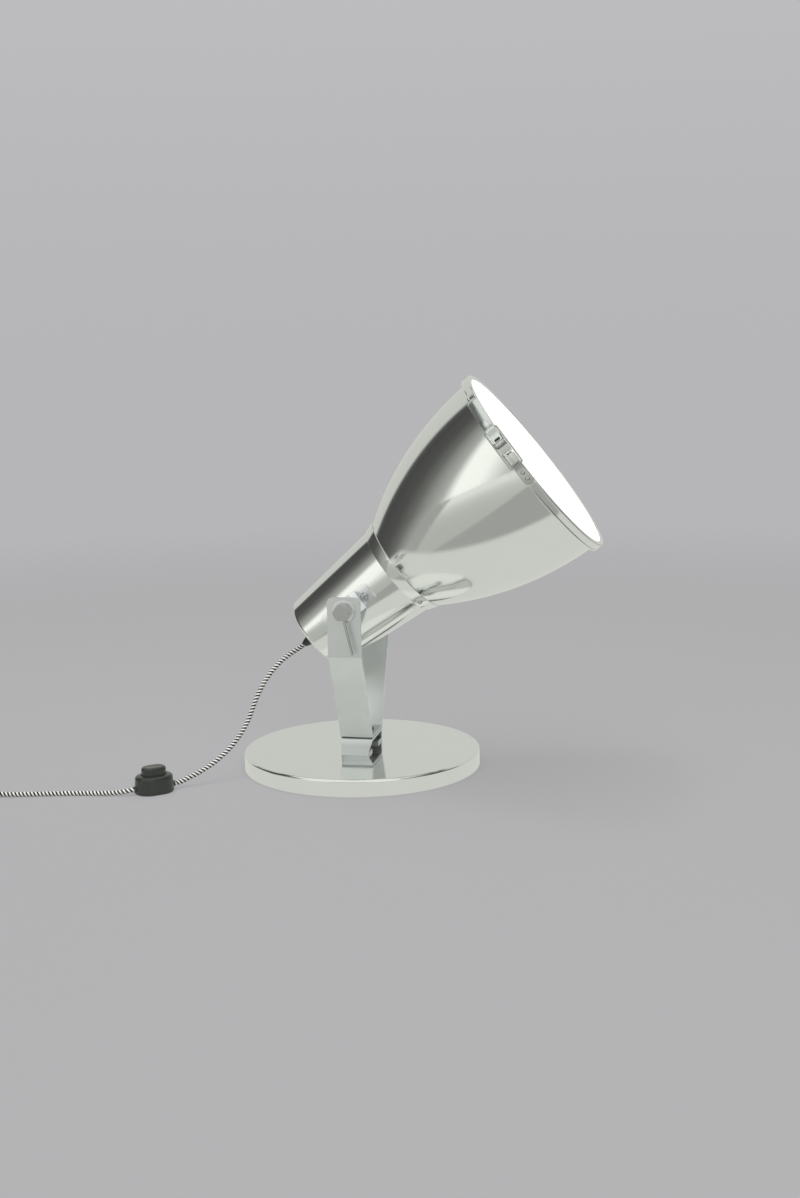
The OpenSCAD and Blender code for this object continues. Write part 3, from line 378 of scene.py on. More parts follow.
# Finishes of pieces that hardly show, by slot: name, colour, roughness, grain, bump and share of metal
GRAINY = {
    "ballast_iron": ("cast_iron", (0.12, 0.12, 0.125), 0.7, 300.0, 0.4, 0.6),
    "felt": ("pressed_felt", (0.05, 0.05, 0.052), 0.95, 900.0, 0.8, 0.0),
    "black_rubber": ("soft_rubber", (0.03, 0.03, 0.03), 0.75, 1200.0, 0.2, 0.0),
    "white_plastic": ("white_plastic_finish", (0.82, 0.81, 0.77), 0.35, 800.0, 0.05, 0.0),
    "tie_strap": ("woven_strap", (0.03, 0.03, 0.032), 0.9, 1400.0, 0.7, 0.0),
}


def grainy(name, tint, rough, scale, bump, metallic):
    """A plain material with a grain of its own."""
    material, tree, shader = new_finish(name, Metallic=metallic)
    grain = noise(tree, object_place(tree), scale, detail=4.0)
    connect(tree, shader, {"Base Color": shades(tree, grain, tint, 0.75),
                           "Roughness": spread(tree, grain, rough - 0.06, rough + 0.06)})
    raise_surface(tree, shader, grain, bump, distance=0.0005)
    return material


FINISH = {}


def make_finishes():
    """Makes every finish once, by the name of its material slot or of its own."""
    finish = settings().finish
    FINISH.update({slot: grainy(*values) for slot, values in GRAINY.items()})
    FINISH.update({
        "polished_aluminium": spun_aluminium(),
        # The satin finish paints shade below the yoke's bend height; the foot's finish paints shade down its legs
        # and a highlight on its top bend
        "satin_steel": satin_steel("satin_steel_finish", YOKE_LEVELS, YOKE_PAINTED_SHADE),
        "foot_steel": satin_steel("foot_steel", FOOT_LEVELS, FOOT_PAINTED_LIGHT),
        "plain_steel": bright_steel("bright_steel", finish.steel, rough=0.09),
        "pressed_steel": bright_steel("pressed_steel", finish.pressed, rough=0.17),
        "opal_glass": opal_glass(),
        "black_plastic": black_plastic(),
        "braided_flex": braided_yarn(),
    })


# Mesh building

# Points closer than this are one, in a mesh made here and in a copy of a CAD node's mesh
SAME_POINT = 1e-7
SAME_CAD_POINT = 2e-6
# Faces of a CAD node that meet at less than this angle are one
FLAT = math.radians(0.4)


def placed(name, data):
    """A new object in the scene."""
    obj = bpy.data.objects.new(name, data)
    bpy.context.scene.collection.objects.link(obj)
    return obj


def finish_piece(name, mesh, body, slot, nodes, finish=None):
    """A piece that rides on a body, with its slot's or another finish, and stands for its CAD nodes."""
    obj = placed(name, mesh)
    mesh.materials.clear()
    mesh.materials.append(FINISH[finish or slot])
    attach(obj, body)
    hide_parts(*nodes)
    return obj


def smooth_mesh(mesh, degrees=32):
    """Shades a mesh smooth, apart from its sharp edges."""
    mesh.shade_smooth()
    mesh.set_sharp_from_angle(angle=math.radians(degrees))
    return mesh


def mesh_from(bm, name, degrees=32):
    """Closes a bmesh's doubles, turns its faces outwards and makes it a mesh."""
    bmesh.ops.remove_doubles(bm, verts=bm.verts, dist=SAME_POINT)
    bmesh.ops.recalc_face_normals(bm, faces=bm.faces)
    mesh = bpy.data.meshes.new(name)
    bm.to_mesh(mesh)
    bm.free()
    return smooth_mesh(mesh, degrees)


def rounded(corners, steps=6):
    """A closed outline from corners given as (x, y, fillet), with each corner rounded by its fillet."""
    outline = []
    count = len(corners)
    for index, (x, y, fillet) in enumerate(corners):
        point = Vector((x, y))
        back = Vector(corners[index - 1][:2]) - point
        ahead = Vector(corners[(index + 1) % count][:2]) - point
        if not fillet:
            outline.append(point)
            continue
        half = back.angle(ahead) / 2
        reach = fillet / math.tan(half)
        middle = point + (back.normalized() + ahead.normalized()).normalized() * (fillet / math.sin(half))
        first = point + back.normalized() * reach - middle
        last = point + ahead.normalized() * reach - middle
        outline += [middle + first.slerp(last, k / steps) * fillet for k in range(steps + 1)]
    return outline


def spun(name, outline, matrix=None, start=0.0, sweep=math.tau, steps=256):
    """Turns a closed outline of (radius, height) points about an axis, with its length along U."""
    whole = sweep > math.tau - 1e-6
    bm = bmesh.new()
    layer = bm.loops.layers.uv.new("turned")
    turns = [start + sweep * k / steps for k in range(steps if whole else steps + 1)]
    rings = [[bm.verts.new((r * math.cos(a), r * math.sin(a), z)) for r, z in outline] for a in turns]
    count = len(outline)
    lengths = [0.0]
    for index in range(count):
        gap = Vector(outline[(index + 1) % count]) - Vector(outline[index])
        lengths.append(lengths[-1] + gap.length)
    for j in range(steps):
        here, there = rings[j], rings[(j + 1) % len(rings)]
        for i in range(count):
            k = (i + 1) % count
            face = bm.faces.new((here[i], there[i], there[k], here[k]))
            marks = ((i, j), (i, j + 1), (i + 1, j + 1), (i + 1, j))
            for loop, (u, v) in zip(face.loops, marks):
                loop[layer].uv = (lengths[u], v / steps)
    if not whole:
        bm.faces.new(rings[0])
        bm.faces.new(list(reversed(rings[-1])))
    if matrix is not None:
        bm.transform(matrix)
    return mesh_from(bm, name)


def softened(node, width, segments=2, degrees=35):
    """A copy of a CAD node's mesh with its sharp edges rounded off."""
    source = frame["nodes"][node].data
    bm = bmesh.new()
    points = [bm.verts.new(v.co) for v in source.vertices]
    for face in source.polygons:
        bm.faces.new([points[k] for k in face.vertices])
    bmesh.ops.remove_doubles(bm, verts=bm.verts, dist=SAME_CAD_POINT)
    bmesh.ops.dissolve_limit(bm, angle_limit=FLAT, verts=bm.verts, edges=bm.edges)
    sharp = [e for e in bm.edges if len(e.link_faces) == 2 and e.calc_face_angle() > math.radians(degrees)]
    bmesh.ops.bevel(bm, geom=sharp, offset=width, segments=segments, profile=0.5, affect="EDGES",
                    clamp_overlap=True)
    mesh = bpy.data.meshes.new(node + "_soft")
    bm.to_mesh(mesh)
    bm.free()
    return weighted(smooth_mesh(mesh, degrees=40))


def evaluated(obj):
    """The plain mesh that an object's modifiers make, with the object removed."""
    bpy.context.view_layer.update()
    graph = bpy.context.evaluated_depsgraph_get()
    mesh = bpy.data.meshes.new_from_object(obj.evaluated_get(graph))
    old = obj.data
    bpy.data.objects.remove(obj)
    if old.users == 0:
        bpy.data.meshes.remove(old)
    return mesh


def weighted(mesh):
    """A mesh whose flat faces stay flat beside its rounded edges."""
    obj = placed("weighing", mesh)
    obj.modifiers.new("Weighted Normal", "WEIGHTED_NORMAL").keep_sharp = True
    return evaluated(obj)


def pressed(name, rows, thickness, level=1, window=()):
    """A smoothed sheet of some thickness through rows of points, less a window of (row, column) faces."""
    bm = bmesh.new()
    grid = [[bm.verts.new(point) for point in row] for row in rows]
    for index, (here, there) in enumerate(zip(grid, grid[1:])):
        for k in range(len(here) - 1):
            if (index, k) not in window:
                bm.faces.new((here[k], here[k + 1], there[k + 1], there[k]))
    obj = placed(name, mesh_from(bm, name, degrees=60))
    wall = obj.modifiers.new("Solidify", "SOLIDIFY")
    wall.thickness = thickness
    wall.offset = 0.0
    smooth = obj.modifiers.new("Subdivision", "SUBSURF")
    smooth.levels = level
    smooth.render_levels = level
    return smooth_mesh(evaluated(obj), degrees=60)


def bridge(bm, here, there):
    """Joins two closed loops of as many points with faces."""
    count = len(here)
    for k in range(count):
        bm.faces.new((here[k], here[(k + 1) % count], there[(k + 1) % count], there[k]))


def wire_loop(name, points, radius, sides=12):
    """A round wire along a closed loop of points."""
    bm = bmesh.new()
    turns = [math.tau * k / sides for k in range(sides)]
    rings = []
    side = None
    for back, point, ahead in zip([points[-1], *points], points, [*points[1:], points[0]]):
        along = (ahead - back).normalized()
        side = along.orthogonal() if side is None else side
        side = (side - along * side.dot(along)).normalized()
        across = along.cross(side)
        spokes = [side * math.cos(a) + across * math.sin(a) for a in turns]
        rings.append([bm.verts.new(point + spoke * radius) for spoke in spokes])
    for here, there in zip(rings, [*rings[1:], rings[0]]):
        bridge(bm, here, there)
    return mesh_from(bm, name, degrees=50)


def joined(name, meshes):
    """Several meshes as one."""
    bm = bmesh.new()
    for mesh in meshes:
        bm.from_mesh(mesh)
        bpy.data.meshes.remove(mesh)
    result = bpy.data.meshes.new(name)
    bm.to_mesh(result)
    bm.free()
    return smooth_mesh(result, degrees=40)


# Places on the head

def head_matrix():
    """The head's own frame: Z along the lamp axis from the pivot, -X upwards."""
    tilt = math.pi / 2 - settings().head.aim
    return Matrix.Translation(JOINTS["head_tilt"]["pos_m"]) @ Matrix.Rotation(tilt, 4, "Y")


def lamp_axis():
    """The way that the lamp aims."""
    return head_matrix().to_3x3() @ Vector((0.0, 0.0, 1.0))


def ring_middle():
    """Where the middle of the front ring's band is along the lamp axis."""
    head = settings().head
    return head.head_front - head.ring_width / 2


def at_rim(turn, radius, across=0.0):
    """A point on the front ring: its angle above the near side, its radius, its place across the band."""
    place = Vector((-radius * math.sin(turn), -radius * math.cos(turn), ring_middle() + across))
    return head_matrix() @ place


def housing_at(z):
    """The housing's radius at a place along the lamp axis."""
    head = settings().head
    return head.housing_radius + head.housing_slope * z


def bell_at(z):
    """The bell's radius at a place along the lamp axis."""
    head = settings().head
    return head.bell_radius - head.bell_arc + math.sqrt(head.bell_arc ** 2 - (head.head_front - z) ** 2)


# Geometry Nodes trees, and the heads of rivets and screws

def new_tree(name, numbers, counts=()):
    """A tree from geometry to geometry with named inputs and a material, and those inputs."""
    tree = bpy.data.node_groups.new(name, "GeometryNodeTree")
    tree.interface.new_socket("Geometry", in_out="OUTPUT", socket_type="NodeSocketGeometry")
    kinds = {"Geometry": "Geometry", **dict.fromkeys(numbers, "Float"), **dict.fromkeys(counts, "Int"),
             "Material": "Material"}
    for label, kind in kinds.items():
        tree.interface.new_socket(label, in_out="INPUT", socket_type="NodeSocket" + kind)
    return tree, add_node(tree, "NodeGroupInput").outputs


def heads_tree():
    """A tree that sets a domed head on each point, along the point's own axis."""
    tree, given = new_tree("domed_heads", ("Radius", "Height", "Rim"))
    ball = add_node(tree, "GeometryNodeMeshUVSphere", {"Segments": 32, "Rings": 16, "Radius": 1.0})
    stretch = add_node(tree, "ShaderNodeCombineXYZ",
                       {0: given["Radius"], 1: given["Radius"], 2: given["Height"]})
    dome = add_node(tree, "GeometryNodeTransform",
                    {"Geometry": ball.outputs[0], "Scale": stretch.outputs[0]})
    rim = add_node(tree, "GeometryNodeMeshCylinder",
                   {"Vertices": 32, "Radius": given["Radius"], "Depth": given["Rim"]})
    both = add_node(tree, "GeometryNodeJoinGeometry", {0: dome.outputs[0]})
    tree.links.new(rim.outputs[0], both.inputs[0])
    axis = add_node(tree, "GeometryNodeInputNamedAttribute", {"Name": "axis"}, data_type="FLOAT_VECTOR")
    turn = add_node(tree, "FunctionNodeAlignRotationToVector", {"Vector": axis.outputs[0]}, axis="Z")
    many = add_node(tree, "GeometryNodeInstanceOnPoints",
                    {"Points": given["Geometry"], "Instance": both.outputs[0], "Rotation": turn.outputs[0]})
    real = add_node(tree, "GeometryNodeRealizeInstances", {0: many.outputs[0]})
    soft = add_node(tree, "GeometryNodeSetShadeSmooth", {0: real.outputs[0]})
    done = add_node(tree, "GeometryNodeSetMaterial",
                    {"Geometry": soft.outputs[0], "Material": given["Material"]})
    add_node(tree, "NodeGroupOutput", {0: done.outputs[0]})
    return tree


def with_nodes(name, mesh, tree, values):
    """The plain mesh that a node tree makes of a mesh, with the tree's inputs set by name."""
    obj = placed(name, mesh)
    modifier = obj.modifiers.new(tree.name, "NODES")
    modifier.node_group = tree
    sockets = {item.name: item.identifier for item in tree.interface.items_tree if item.in_out == "INPUT"}
    for key, value in values.items():
        modifier[sockets[key]] = value
    return evaluated(obj)


def domed_heads(name, seats, sizes, slot, nodes):
    """One piece of like heads of a (radius, height, rim), each on a seat given as a point and an axis."""
    mesh = bpy.data.meshes.new(name)
    mesh.from_pydata([point for point, axis in seats], [], [])
    attribute = mesh.attributes.new("axis", "FLOAT_VECTOR", "POINT")
    for item, (point, axis) in zip(attribute.data, seats):
        item.vector = axis
    tree = bpy.data.node_groups.get("domed_heads") or heads_tree()
    values = {**dict(zip(("Radius", "Height", "Rim"), sizes)), "Material": FINISH["plain_steel"]}
    made = smooth_mesh(with_nodes(name, mesh, tree, values), degrees=50)
    return finish_piece(name, made, "head", slot, nodes, "plain_steel")


# The stage

# The camera: the photograph's focal length and height in pixels, the sensor in millimetres, and the place
PHOTO_FOCUS = 1398.0
PHOTO_HEIGHT = 1198.0
SENSOR = 36.0
CAMERA_REACH = 100.0
CAMERA_AT = Vector((0.46457, -1.97595, 0.57248))
CAMERA_RIGHT = Vector((0.98027, 0.19673, -0.01883))
CAMERA_UP = Vector((-0.01289, 0.15869, 0.98724))


def make_camera():
    """The camera, at the photograph's viewing angle."""
    data = bpy.data.cameras.new("camera")
    data.sensor_width = SENSOR
    data.lens = SENSOR * PHOTO_FOCUS / PHOTO_HEIGHT
    data.clip_end = CAMERA_REACH
    right = CAMERA_RIGHT.normalized()
    back = right.cross(CAMERA_UP).normalized()
    up = back.cross(right)
    camera = placed("camera", data)
    camera.matrix_world = Matrix.Translation(CAMERA_AT) @ Matrix((right, up, back)).transposed().to_4x4()
    bpy.context.scene.camera = camera


# What stands round the lamp: its tint, and its brightness as (degrees from straight back, brightness)
STUDIO_TINT = (0.987, 1.011, 0.944)
STUDIO = ((0, 0.62), (59, 0.6), (65, 0.09), (73, 0.068), (94, 0.085), (107, 0.15), (117, 0.29), (127, 0.43),
          (134, 1.04), (149, 1.0), (159, 0.7), (168, 0.42), (180, 0.4))
# Heights, as sines, between which the wall ends, the ceiling starts and the front box fades in
WALL_TOP = (0.70, 0.74)
WALL_GAP = 0.08
CEILING_EDGE = (0.77, 0.82)
CEILING = 0.85
FRONT_BOX = 1.15
FRONT_BOX_TURN = (math.radians(140), math.radians(150))
FRONT_BOX_LOW = (0.33, 0.45)
# The backdrop as the camera sees it: the heights between which it grows paler, and how much paler
BACKDROP_RISE = (0.0, 0.45)
BACKDROP_TOP = 1.14
# What the metal mirrors below it: a pale sheet under the lamp, and a darker floor with a bright streak
SHEET_PALE = 0.65
SHEET_SIDE = (0.62, 0.86)
SHEET_FRONT = (-0.40, -0.34)
FLOOR_GREY = 0.37
STREAK = (0.47, 0.78)
STREAK_REACH = (0.5, 4.0)
STREAK_EDGE = (math.radians(134), math.radians(137))
STREAK_FROM = Vector((-0.16, -0.42))
STREAK_ACROSS = Vector((-0.885, -0.466))
STREAK_SOFT = 0.04
FLOOR_FADE = (1.2, 3.6)
FLOOR_RADIUS = 9.0
FLOOR_SIDES = 96
FLOOR_GLOW = 0.6
# Soft lamps, as (place, size in metres, power in watts), and the place that they aim at
LAMPS = {
    "overhead": ((-0.2, -0.2, 3.2), 3.0, 34.0),
    "key": ((-0.35, 0.25, 2.2), 0.35, 5.0),
    "front_fill": ((1.2, -2.4, 1.6), 1.6, 14.0),
}
LAMP_AIM = Vector((0.05, 0.0, 0.2))


def tinted(tree, level):
    """The studio's faint tint, at a brightness."""
    return vector_maths(tree, "SCALE", STUDIO_TINT, Scale=level)


def turn_from_back(tree, x, y):
    """How far a level direction is turned from straight back, to either side."""
    return maths(tree, "ABSOLUTE", maths(tree, "ARCTAN2", x, y))


def studio_ring(tree, turn):
    """The studio's brightness in a level direction."""
    ramp = add_node(tree, "ShaderNodeValToRGB", {"Fac": maths(tree, "DIVIDE", turn, math.pi)})
    points = ramp.color_ramp.elements
    while len(points) < len(STUDIO):
        points.new(1.0)
    for point, (degrees, level) in zip(points, STUDIO):
        point.position = degrees / 180
        point.color = (level, level, level, 1.0)
    return ramp.outputs[0]


def studio_world():
    """A plain backdrop for the camera and, for the metal, a pale wall, dark sides, boxes and a ceiling."""
    world = bpy.data.worlds.new("studio")
    bpy.context.scene.world = world
    world.use_nodes = True
    tree = world.node_tree
    way = add_node(tree, "ShaderNodeTexCoord").outputs["Generated"]
    x, y, z = add_node(tree, "ShaderNodeSeparateXYZ", {0: way}).outputs
    turn = turn_from_back(tree, x, y)
    front = maths(tree, "MULTIPLY", eased(tree, turn, *FRONT_BOX_TURN), eased(tree, z, *FRONT_BOX_LOW))
    round_about = mixed(tree, front, studio_ring(tree, turn), (FRONT_BOX,) * 3)
    sides = mixed(tree, eased(tree, z, *WALL_TOP), round_about, (WALL_GAP,) * 3)
    studio = mixed(tree, eased(tree, z, *CEILING_EDGE), sides, (CEILING,) * 3)
    seen = shades(tree, eased(tree, z, *BACKDROP_RISE), settings().finish.backdrop, 1.0, BACKDROP_TOP)
    camera = add_node(tree, "ShaderNodeLightPath").outputs["Is Camera Ray"]
    connect(tree, tree.nodes["Background"], {"Color": mixed(tree, camera, tinted(tree, studio), seen)})


def mirrored_floor(tree, x, y, distance):
    """The floor's brightness where metal mirrors it."""
    turn = turn_from_back(tree, x, y)
    grey = maths(tree, "MINIMUM", studio_ring(tree, turn), FLOOR_GREY)
    right, back = (maths(tree, "MULTIPLY", maths(tree, "SUBTRACT", place, start), slope)
                   for place, start, slope in zip((x, y), STREAK_FROM, STREAK_ACROSS))
    away = eased(tree, maths(tree, "ADD", right, back), -STREAK_SOFT, STREAK_SOFT)
    inside = maths(tree, "MULTIPLY", away, eased(tree, turn, *STREAK_EDGE))
    streak = eased(tree, distance, *STREAK_REACH, *STREAK)
    around = maths(tree, "ADD", grey, maths(tree, "MULTIPLY", inside, maths(tree, "SUBTRACT", streak, grey)))
    narrow = eased(tree, maths(tree, "ABSOLUTE", x), *SHEET_SIDE, 1.0, 0.0)
    sheet = maths(tree, "MULTIPLY", narrow, eased(tree, y, *SHEET_FRONT))
    return tinted(tree, mixed(tree, sheet, around, (SHEET_PALE,) * 3))


def floor_finish():
    """A plain pale floor that fades into the backdrop and keeps its shadows faint."""
    finish = settings().finish
    material = bpy.data.materials.new("pale_floor")
    material.use_nodes = True
    material.cycles.emission_sampling = "NONE"
    tree = material.node_tree
    tree.nodes.remove(tree.nodes["Principled BSDF"])
    rays = add_node(tree, "ShaderNodeLightPath").outputs
    place = add_node(tree, "ShaderNodeTexCoord").outputs["Object"]
    x, y, _ = add_node(tree, "ShaderNodeSeparateXYZ", {0: place}).outputs
    distance = vector_maths(tree, "LENGTH", place)
    near = shades(tree, noise(tree, place, scale=3.0, detail=3.0), finish.floor, 0.98)
    matt = add_node(tree, "ShaderNodeBsdfDiffuse", {"Color": near}).outputs[0]
    glow = add_node(tree, "ShaderNodeEmission", {"Color": (*finish.backdrop, 1.0)}).outputs[0]
    fade = eased(tree, distance, *FLOOR_FADE, FLOOR_GLOW, 1.0)
    share = maths(tree, "MULTIPLY", fade, rays["Is Camera Ray"])
    seen = add_node(tree, "ShaderNodeMixShader", {0: share, 1: matt, 2: glow}).outputs[0]
    level = mirrored_floor(tree, x, y, distance)
    mirrored = add_node(tree, "ShaderNodeEmission", {"Color": level}).outputs[0]
    blend = add_node(tree, "ShaderNodeMixShader", {0: rays["Is Glossy Ray"], 1: seen, 2: mirrored})
    connect(tree, tree.nodes["Material Output"], {"Surface": blend.outputs[0]})
    return material


def make_floor():
    """A round floor."""
    bm = bmesh.new()
    bmesh.ops.create_circle(bm, cap_ends=True, segments=FLOOR_SIDES, radius=FLOOR_RADIUS)
    mesh = mesh_from(bm, "floor")
    mesh.materials.append(floor_finish())
    placed("floor", mesh)


def soft_lamp(name, place, size, power):
    """A square lamp that aims at the object and stays out of its reflections."""
    data = bpy.data.lights.new(name, "AREA")
    data.size = size
    data.energy = power
    turn = (LAMP_AIM - Vector(place)).to_track_quat("-Z", "Y").to_matrix().to_4x4()
    lamp = placed(name, data)
    lamp.matrix_world = Matrix.Translation(place) @ turn
    lamp.visible_glossy = False


class UPLIGHTER_OT_stage(bpy.types.Operator):
    """Set up the camera, the floor, the studio and its lamps"""

    bl_idname = "uplighter.stage"
    bl_label = "Stage"

    def execute(self, context):
        context.scene.view_settings.view_transform = "Standard"
        make_camera()
        studio_world()
        make_floor()
        for name, values in LAMPS.items():
            soft_lamp(name, *values)
        make_finishes()
        return {"FINISHED"}


# The flex

# The flex's routes, from the gland to the switch and from the switch to the run into the coil
LEAD_ROUTE = ((-0.0843, 0, 0.1801), (-0.0922, 0, 0.1739), (-0.104, -0.006, 0.1665),
              (-0.117, -0.018, 0.156), (-0.1285, -0.032, 0.142), (-0.1375, -0.045, 0.126),
              (-0.144, -0.055, 0.11), (-0.149, -0.064, 0.093), (-0.154, -0.073, 0.077),
              (-0.161, -0.084, 0.062), (-0.17, -0.097, 0.048), (-0.181, -0.111, 0.036),
              (-0.1925, -0.1238, 0.0265), (-0.203, -0.1343, 0.02), (-0.2125, -0.1428, 0.0152),
              (-0.2215, -0.1505, 0.0114), (-0.2265, -0.1548, 0.0092), (-0.2314, -0.1589, 0.0078),
              (-0.2368, -0.1634, 0.0075))
FLOOR_ROUTE = ((-0.2812, -0.2006, 0.0075), (-0.2858, -0.2042, 0.0072), (-0.2925, -0.2075, 0.0062),
               (-0.303, -0.2096, 0.0049), (-0.317, -0.211, 0.0039), (-0.332, -0.2122, 0.0034),
               (-0.348, -0.2138, 0.0033), (-0.366, -0.2166, 0.0033), (-0.385, -0.22, 0.0033),
               (-0.405, -0.2242, 0.0033), (-0.425, -0.2285, 0.0033), (-0.446, -0.233, 0.0035),
               (-0.466, -0.2373, 0.0043))
# The coil and the run from it to the plug
COIL_AT = Vector((-0.505, -0.294))
COIL_PITCH = 0.0073
COIL_LAYER = 0.0071
COIL_LOW = 0.0048
COIL_START = math.radians(102.5)
COIL_RUN = 0.016
LOOP_POINTS = 72
PLUG_RUN = 0.048
PLUG_RADIUS = 0.0185
TAIL_POINTS = 12
FLEX_STEP = 0.001
FLEX_SIDES = 28


def ease(share):
    """A share from 0 to 1 that starts and ends gently."""
    share = min(max(share, 0.0), 1.0)
    return share * share * (3 - 2 * share)


def coil_inner():
    """The radius of the coil's innermost loop."""
    flex = settings().flex
    return flex.coil_radius - flex.coil_turns * COIL_PITCH / 4


def coil_place(turns):
    """A point of the coil, which winds in on the floor, climbs a layer and winds out."""
    middle = settings().flex.coil_turns / 2
    radius = coil_inner() + COIL_PITCH * abs(turns - middle)
    turn = COIL_START + math.tau * turns
    rise = COIL_LAYER * ease(2 * (turns - middle) + 0.5)
    return Vector((COIL_AT.x + radius * math.cos(turn), COIL_AT.y + radius * math.sin(turn), COIL_LOW + rise))


def coil_heading():
    """The way that the flex runs where it meets and leaves the coil."""
    return Vector((-math.sin(COIL_START), math.cos(COIL_START), 0.0))


def run_in(distance):
    """A point on the straight run into the coil."""
    return coil_place(0) - coil_heading() * distance


def tail_place(share):
    """A point on the run from the coil to the plug, which rises to the plug's middle."""
    start = coil_place(settings().flex.coil_turns)
    rise = ease(share * PLUG_RUN / (PLUG_RUN - 2 * settings().flex.diameter))
    place = start + coil_heading() * PLUG_RUN * share
    place.z = start.z + rise * (PLUG_RADIUS - start.z)
    return place


def curve_through(points, step):
    """Points a step apart on a smooth curve through a route."""
    route = [Vector(p) for p in points]
    route = [2 * route[0] - route[1], *route, 2 * route[-1] - route[-2]]
    fine = []
    for a, b, c, d in zip(route, route[1:], route[2:], route[3:]):
        parts = max(2, math.ceil((c - b).length / step * 2))
        for k in range(parts):
            t = k / parts
            fine.append(0.5 * (2 * b + (c - a) * t + (2 * a - 5 * b + 4 * c - d) * t ** 2
                               + (3 * b - a - 3 * c + d) * t ** 3))
    fine.append(route[-2])
    return evenly(fine, step)


def evenly(points, step):
    """Points a step apart along a fine path, with both ends kept."""
    marks = [0.0]
    for a, b in zip(points, points[1:]):
        marks.append(marks[-1] + (b - a).length)
    count = max(2, round(marks[-1] / step))
    result = []
    index = 0
    for k in range(count + 1):
        goal = marks[-1] * k / count
        while index < len(points) - 2 and marks[index + 1] < goal:
            index += 1
        share = (goal - marks[index]) / max(marks[index + 1] - marks[index], 1e-12)
        result.append(points[index].lerp(points[index + 1], share))
    return result


def braid_tree():
    """A tree that sweeps a braided tube along a path, its yarns raised in two crossing sets."""
    tree, given = new_tree("braided_tube", ("Radius", "Stripe", "Relief"), ("Sides", "Starts"))
    line = add_node(tree, "GeometryNodeMeshToCurve", {0: given["Geometry"]}).outputs[0]
    path, along = captured(tree, line, add_node(tree, "GeometryNodeSplineParameter").outputs["Length"])
    hoop = add_node(tree, "GeometryNodeCurvePrimitiveCircle",
                    {"Resolution": given["Sides"], "Radius": given["Radius"]}).outputs[0]
    index = add_node(tree, "GeometryNodeInputIndex").outputs[0]
    turn = maths(tree, "DIVIDE", maths(tree, "MULTIPLY", index, math.tau), given["Sides"])
    profile, around = captured(tree, hoop, turn)
    swept = add_node(tree, "GeometryNodeCurveToMesh",
                     {"Curve": path, "Profile Curve": profile, "Fill Caps": True}).outputs[0]
    starts = maths(tree, "MULTIPLY", around, given["Starts"])
    phase = maths(tree, "MULTIPLY", maths(tree, "DIVIDE", along, given["Stripe"]), math.tau)
    one = maths(tree, "SINE", maths(tree, "ADD", phase, starts))
    other = maths(tree, "SINE", maths(tree, "SUBTRACT", phase, starts))
    height = maths(tree, "MULTIPLY", maths(tree, "MULTIPLY", one, other), given["Relief"])
    normal = add_node(tree, "GeometryNodeInputNormal").outputs[0]
    lift = vector_maths(tree, "SCALE", normal, Scale=height)
    ribbed = add_node(tree, "GeometryNodeSetPosition", {"Geometry": swept, "Offset": lift}).outputs[0]
    winding = {0: maths(tree, "COSINE", starts), 1: maths(tree, "SINE", starts), 2: along}
    braid = add_node(tree, "ShaderNodeCombineXYZ", winding).outputs[0]
    marked = add_node(tree, "GeometryNodeStoreNamedAttribute", data_type="FLOAT_VECTOR", domain="POINT")
    connect(tree, marked, {"Geometry": ribbed, "Name": "braid", "Value": braid})
    soft = add_node(tree, "GeometryNodeSetShadeSmooth", {0: marked.outputs[0]}).outputs[0]
    real = add_node(tree, "GeometryNodeRealizeInstances", {0: soft}).outputs[0]
    done = add_node(tree, "GeometryNodeSetMaterial", {"Geometry": real, "Material": given["Material"]})
    add_node(tree, "NodeGroupOutput", {0: done.outputs[0]})
    return tree


def captured(tree, geometry, value):
    """A geometry that remembers a value on its points, and that value."""
    node = add_node(tree, "GeometryNodeCaptureAttribute", {0: geometry}, domain="POINT")
    node.capture_items.new("FLOAT", "value")
    tree.links.new(value, node.inputs[1])
    return node.outputs[0], node.outputs[1]


def braided_flex(name, points):
    """The mesh of a braided flex along points."""
    flex = settings().flex
    line = bpy.data.meshes.new(name)
    line.from_pydata(points, [(k, k + 1) for k in range(len(points) - 1)], [])
    tree = bpy.data.node_groups.get("braided_tube") or braid_tree()
    values = {"Radius": flex.diameter / 2, "Stripe": flex.stripe, "Relief": flex.relief, "Sides": FLEX_SIDES,
              "Starts": flex.starts, "Material": FINISH["braided_flex"]}
    mesh = with_nodes(name, line, tree, values)
    mesh.materials.clear()
    mesh.materials.append(FINISH["braided_flex"])
    return mesh


def flex_object(name, points, nodes):
    """A flex piece along points that stands for its CAD solids."""
    obj = placed(name, braided_flex(name, points))
    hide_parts(*nodes)
    return obj


class UPLIGHTER_OT_flex(bpy.types.Operator):
    """Lay the braided flex from the gland to the switch, and on to its coil and plug"""

    bl_idname = "uplighter.flex"
    bl_label = "Flex"

    def execute(self, context):
        flex = settings().flex
        lead = curve_through(LEAD_ROUTE, FLEX_STEP)
        loops = [coil_place(k / LOOP_POINTS) for k in range(flex.coil_turns * LOOP_POINTS + 1)]
        tail = [tail_place(k / TAIL_POINTS) for k in range(1, TAIL_POINTS + 1)]
        straight = [run_in(2 * COIL_RUN), run_in(COIL_RUN), run_in(COIL_RUN - flex.diameter)]
        floor = curve_through([*FLOOR_ROUTE, *straight, *loops, *tail], FLEX_STEP)
        lead_piece = flex_object("flex_lead", lead, ["cord_lead"])
        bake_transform(lead_piece)
        floor_piece = flex_object("flex_floor", floor, ["cord_floor", "cord_coil"])
        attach(floor_piece, "base")
        return {"FINISHED"}


def plug_matrix():
    """The plug's own frame: Z along the flex from the end of its tail."""
    turn = coil_heading().to_track_quat("Z", "Y").to_matrix().to_4x4()
    return Matrix.Translation(tail_place(1)) @ turn


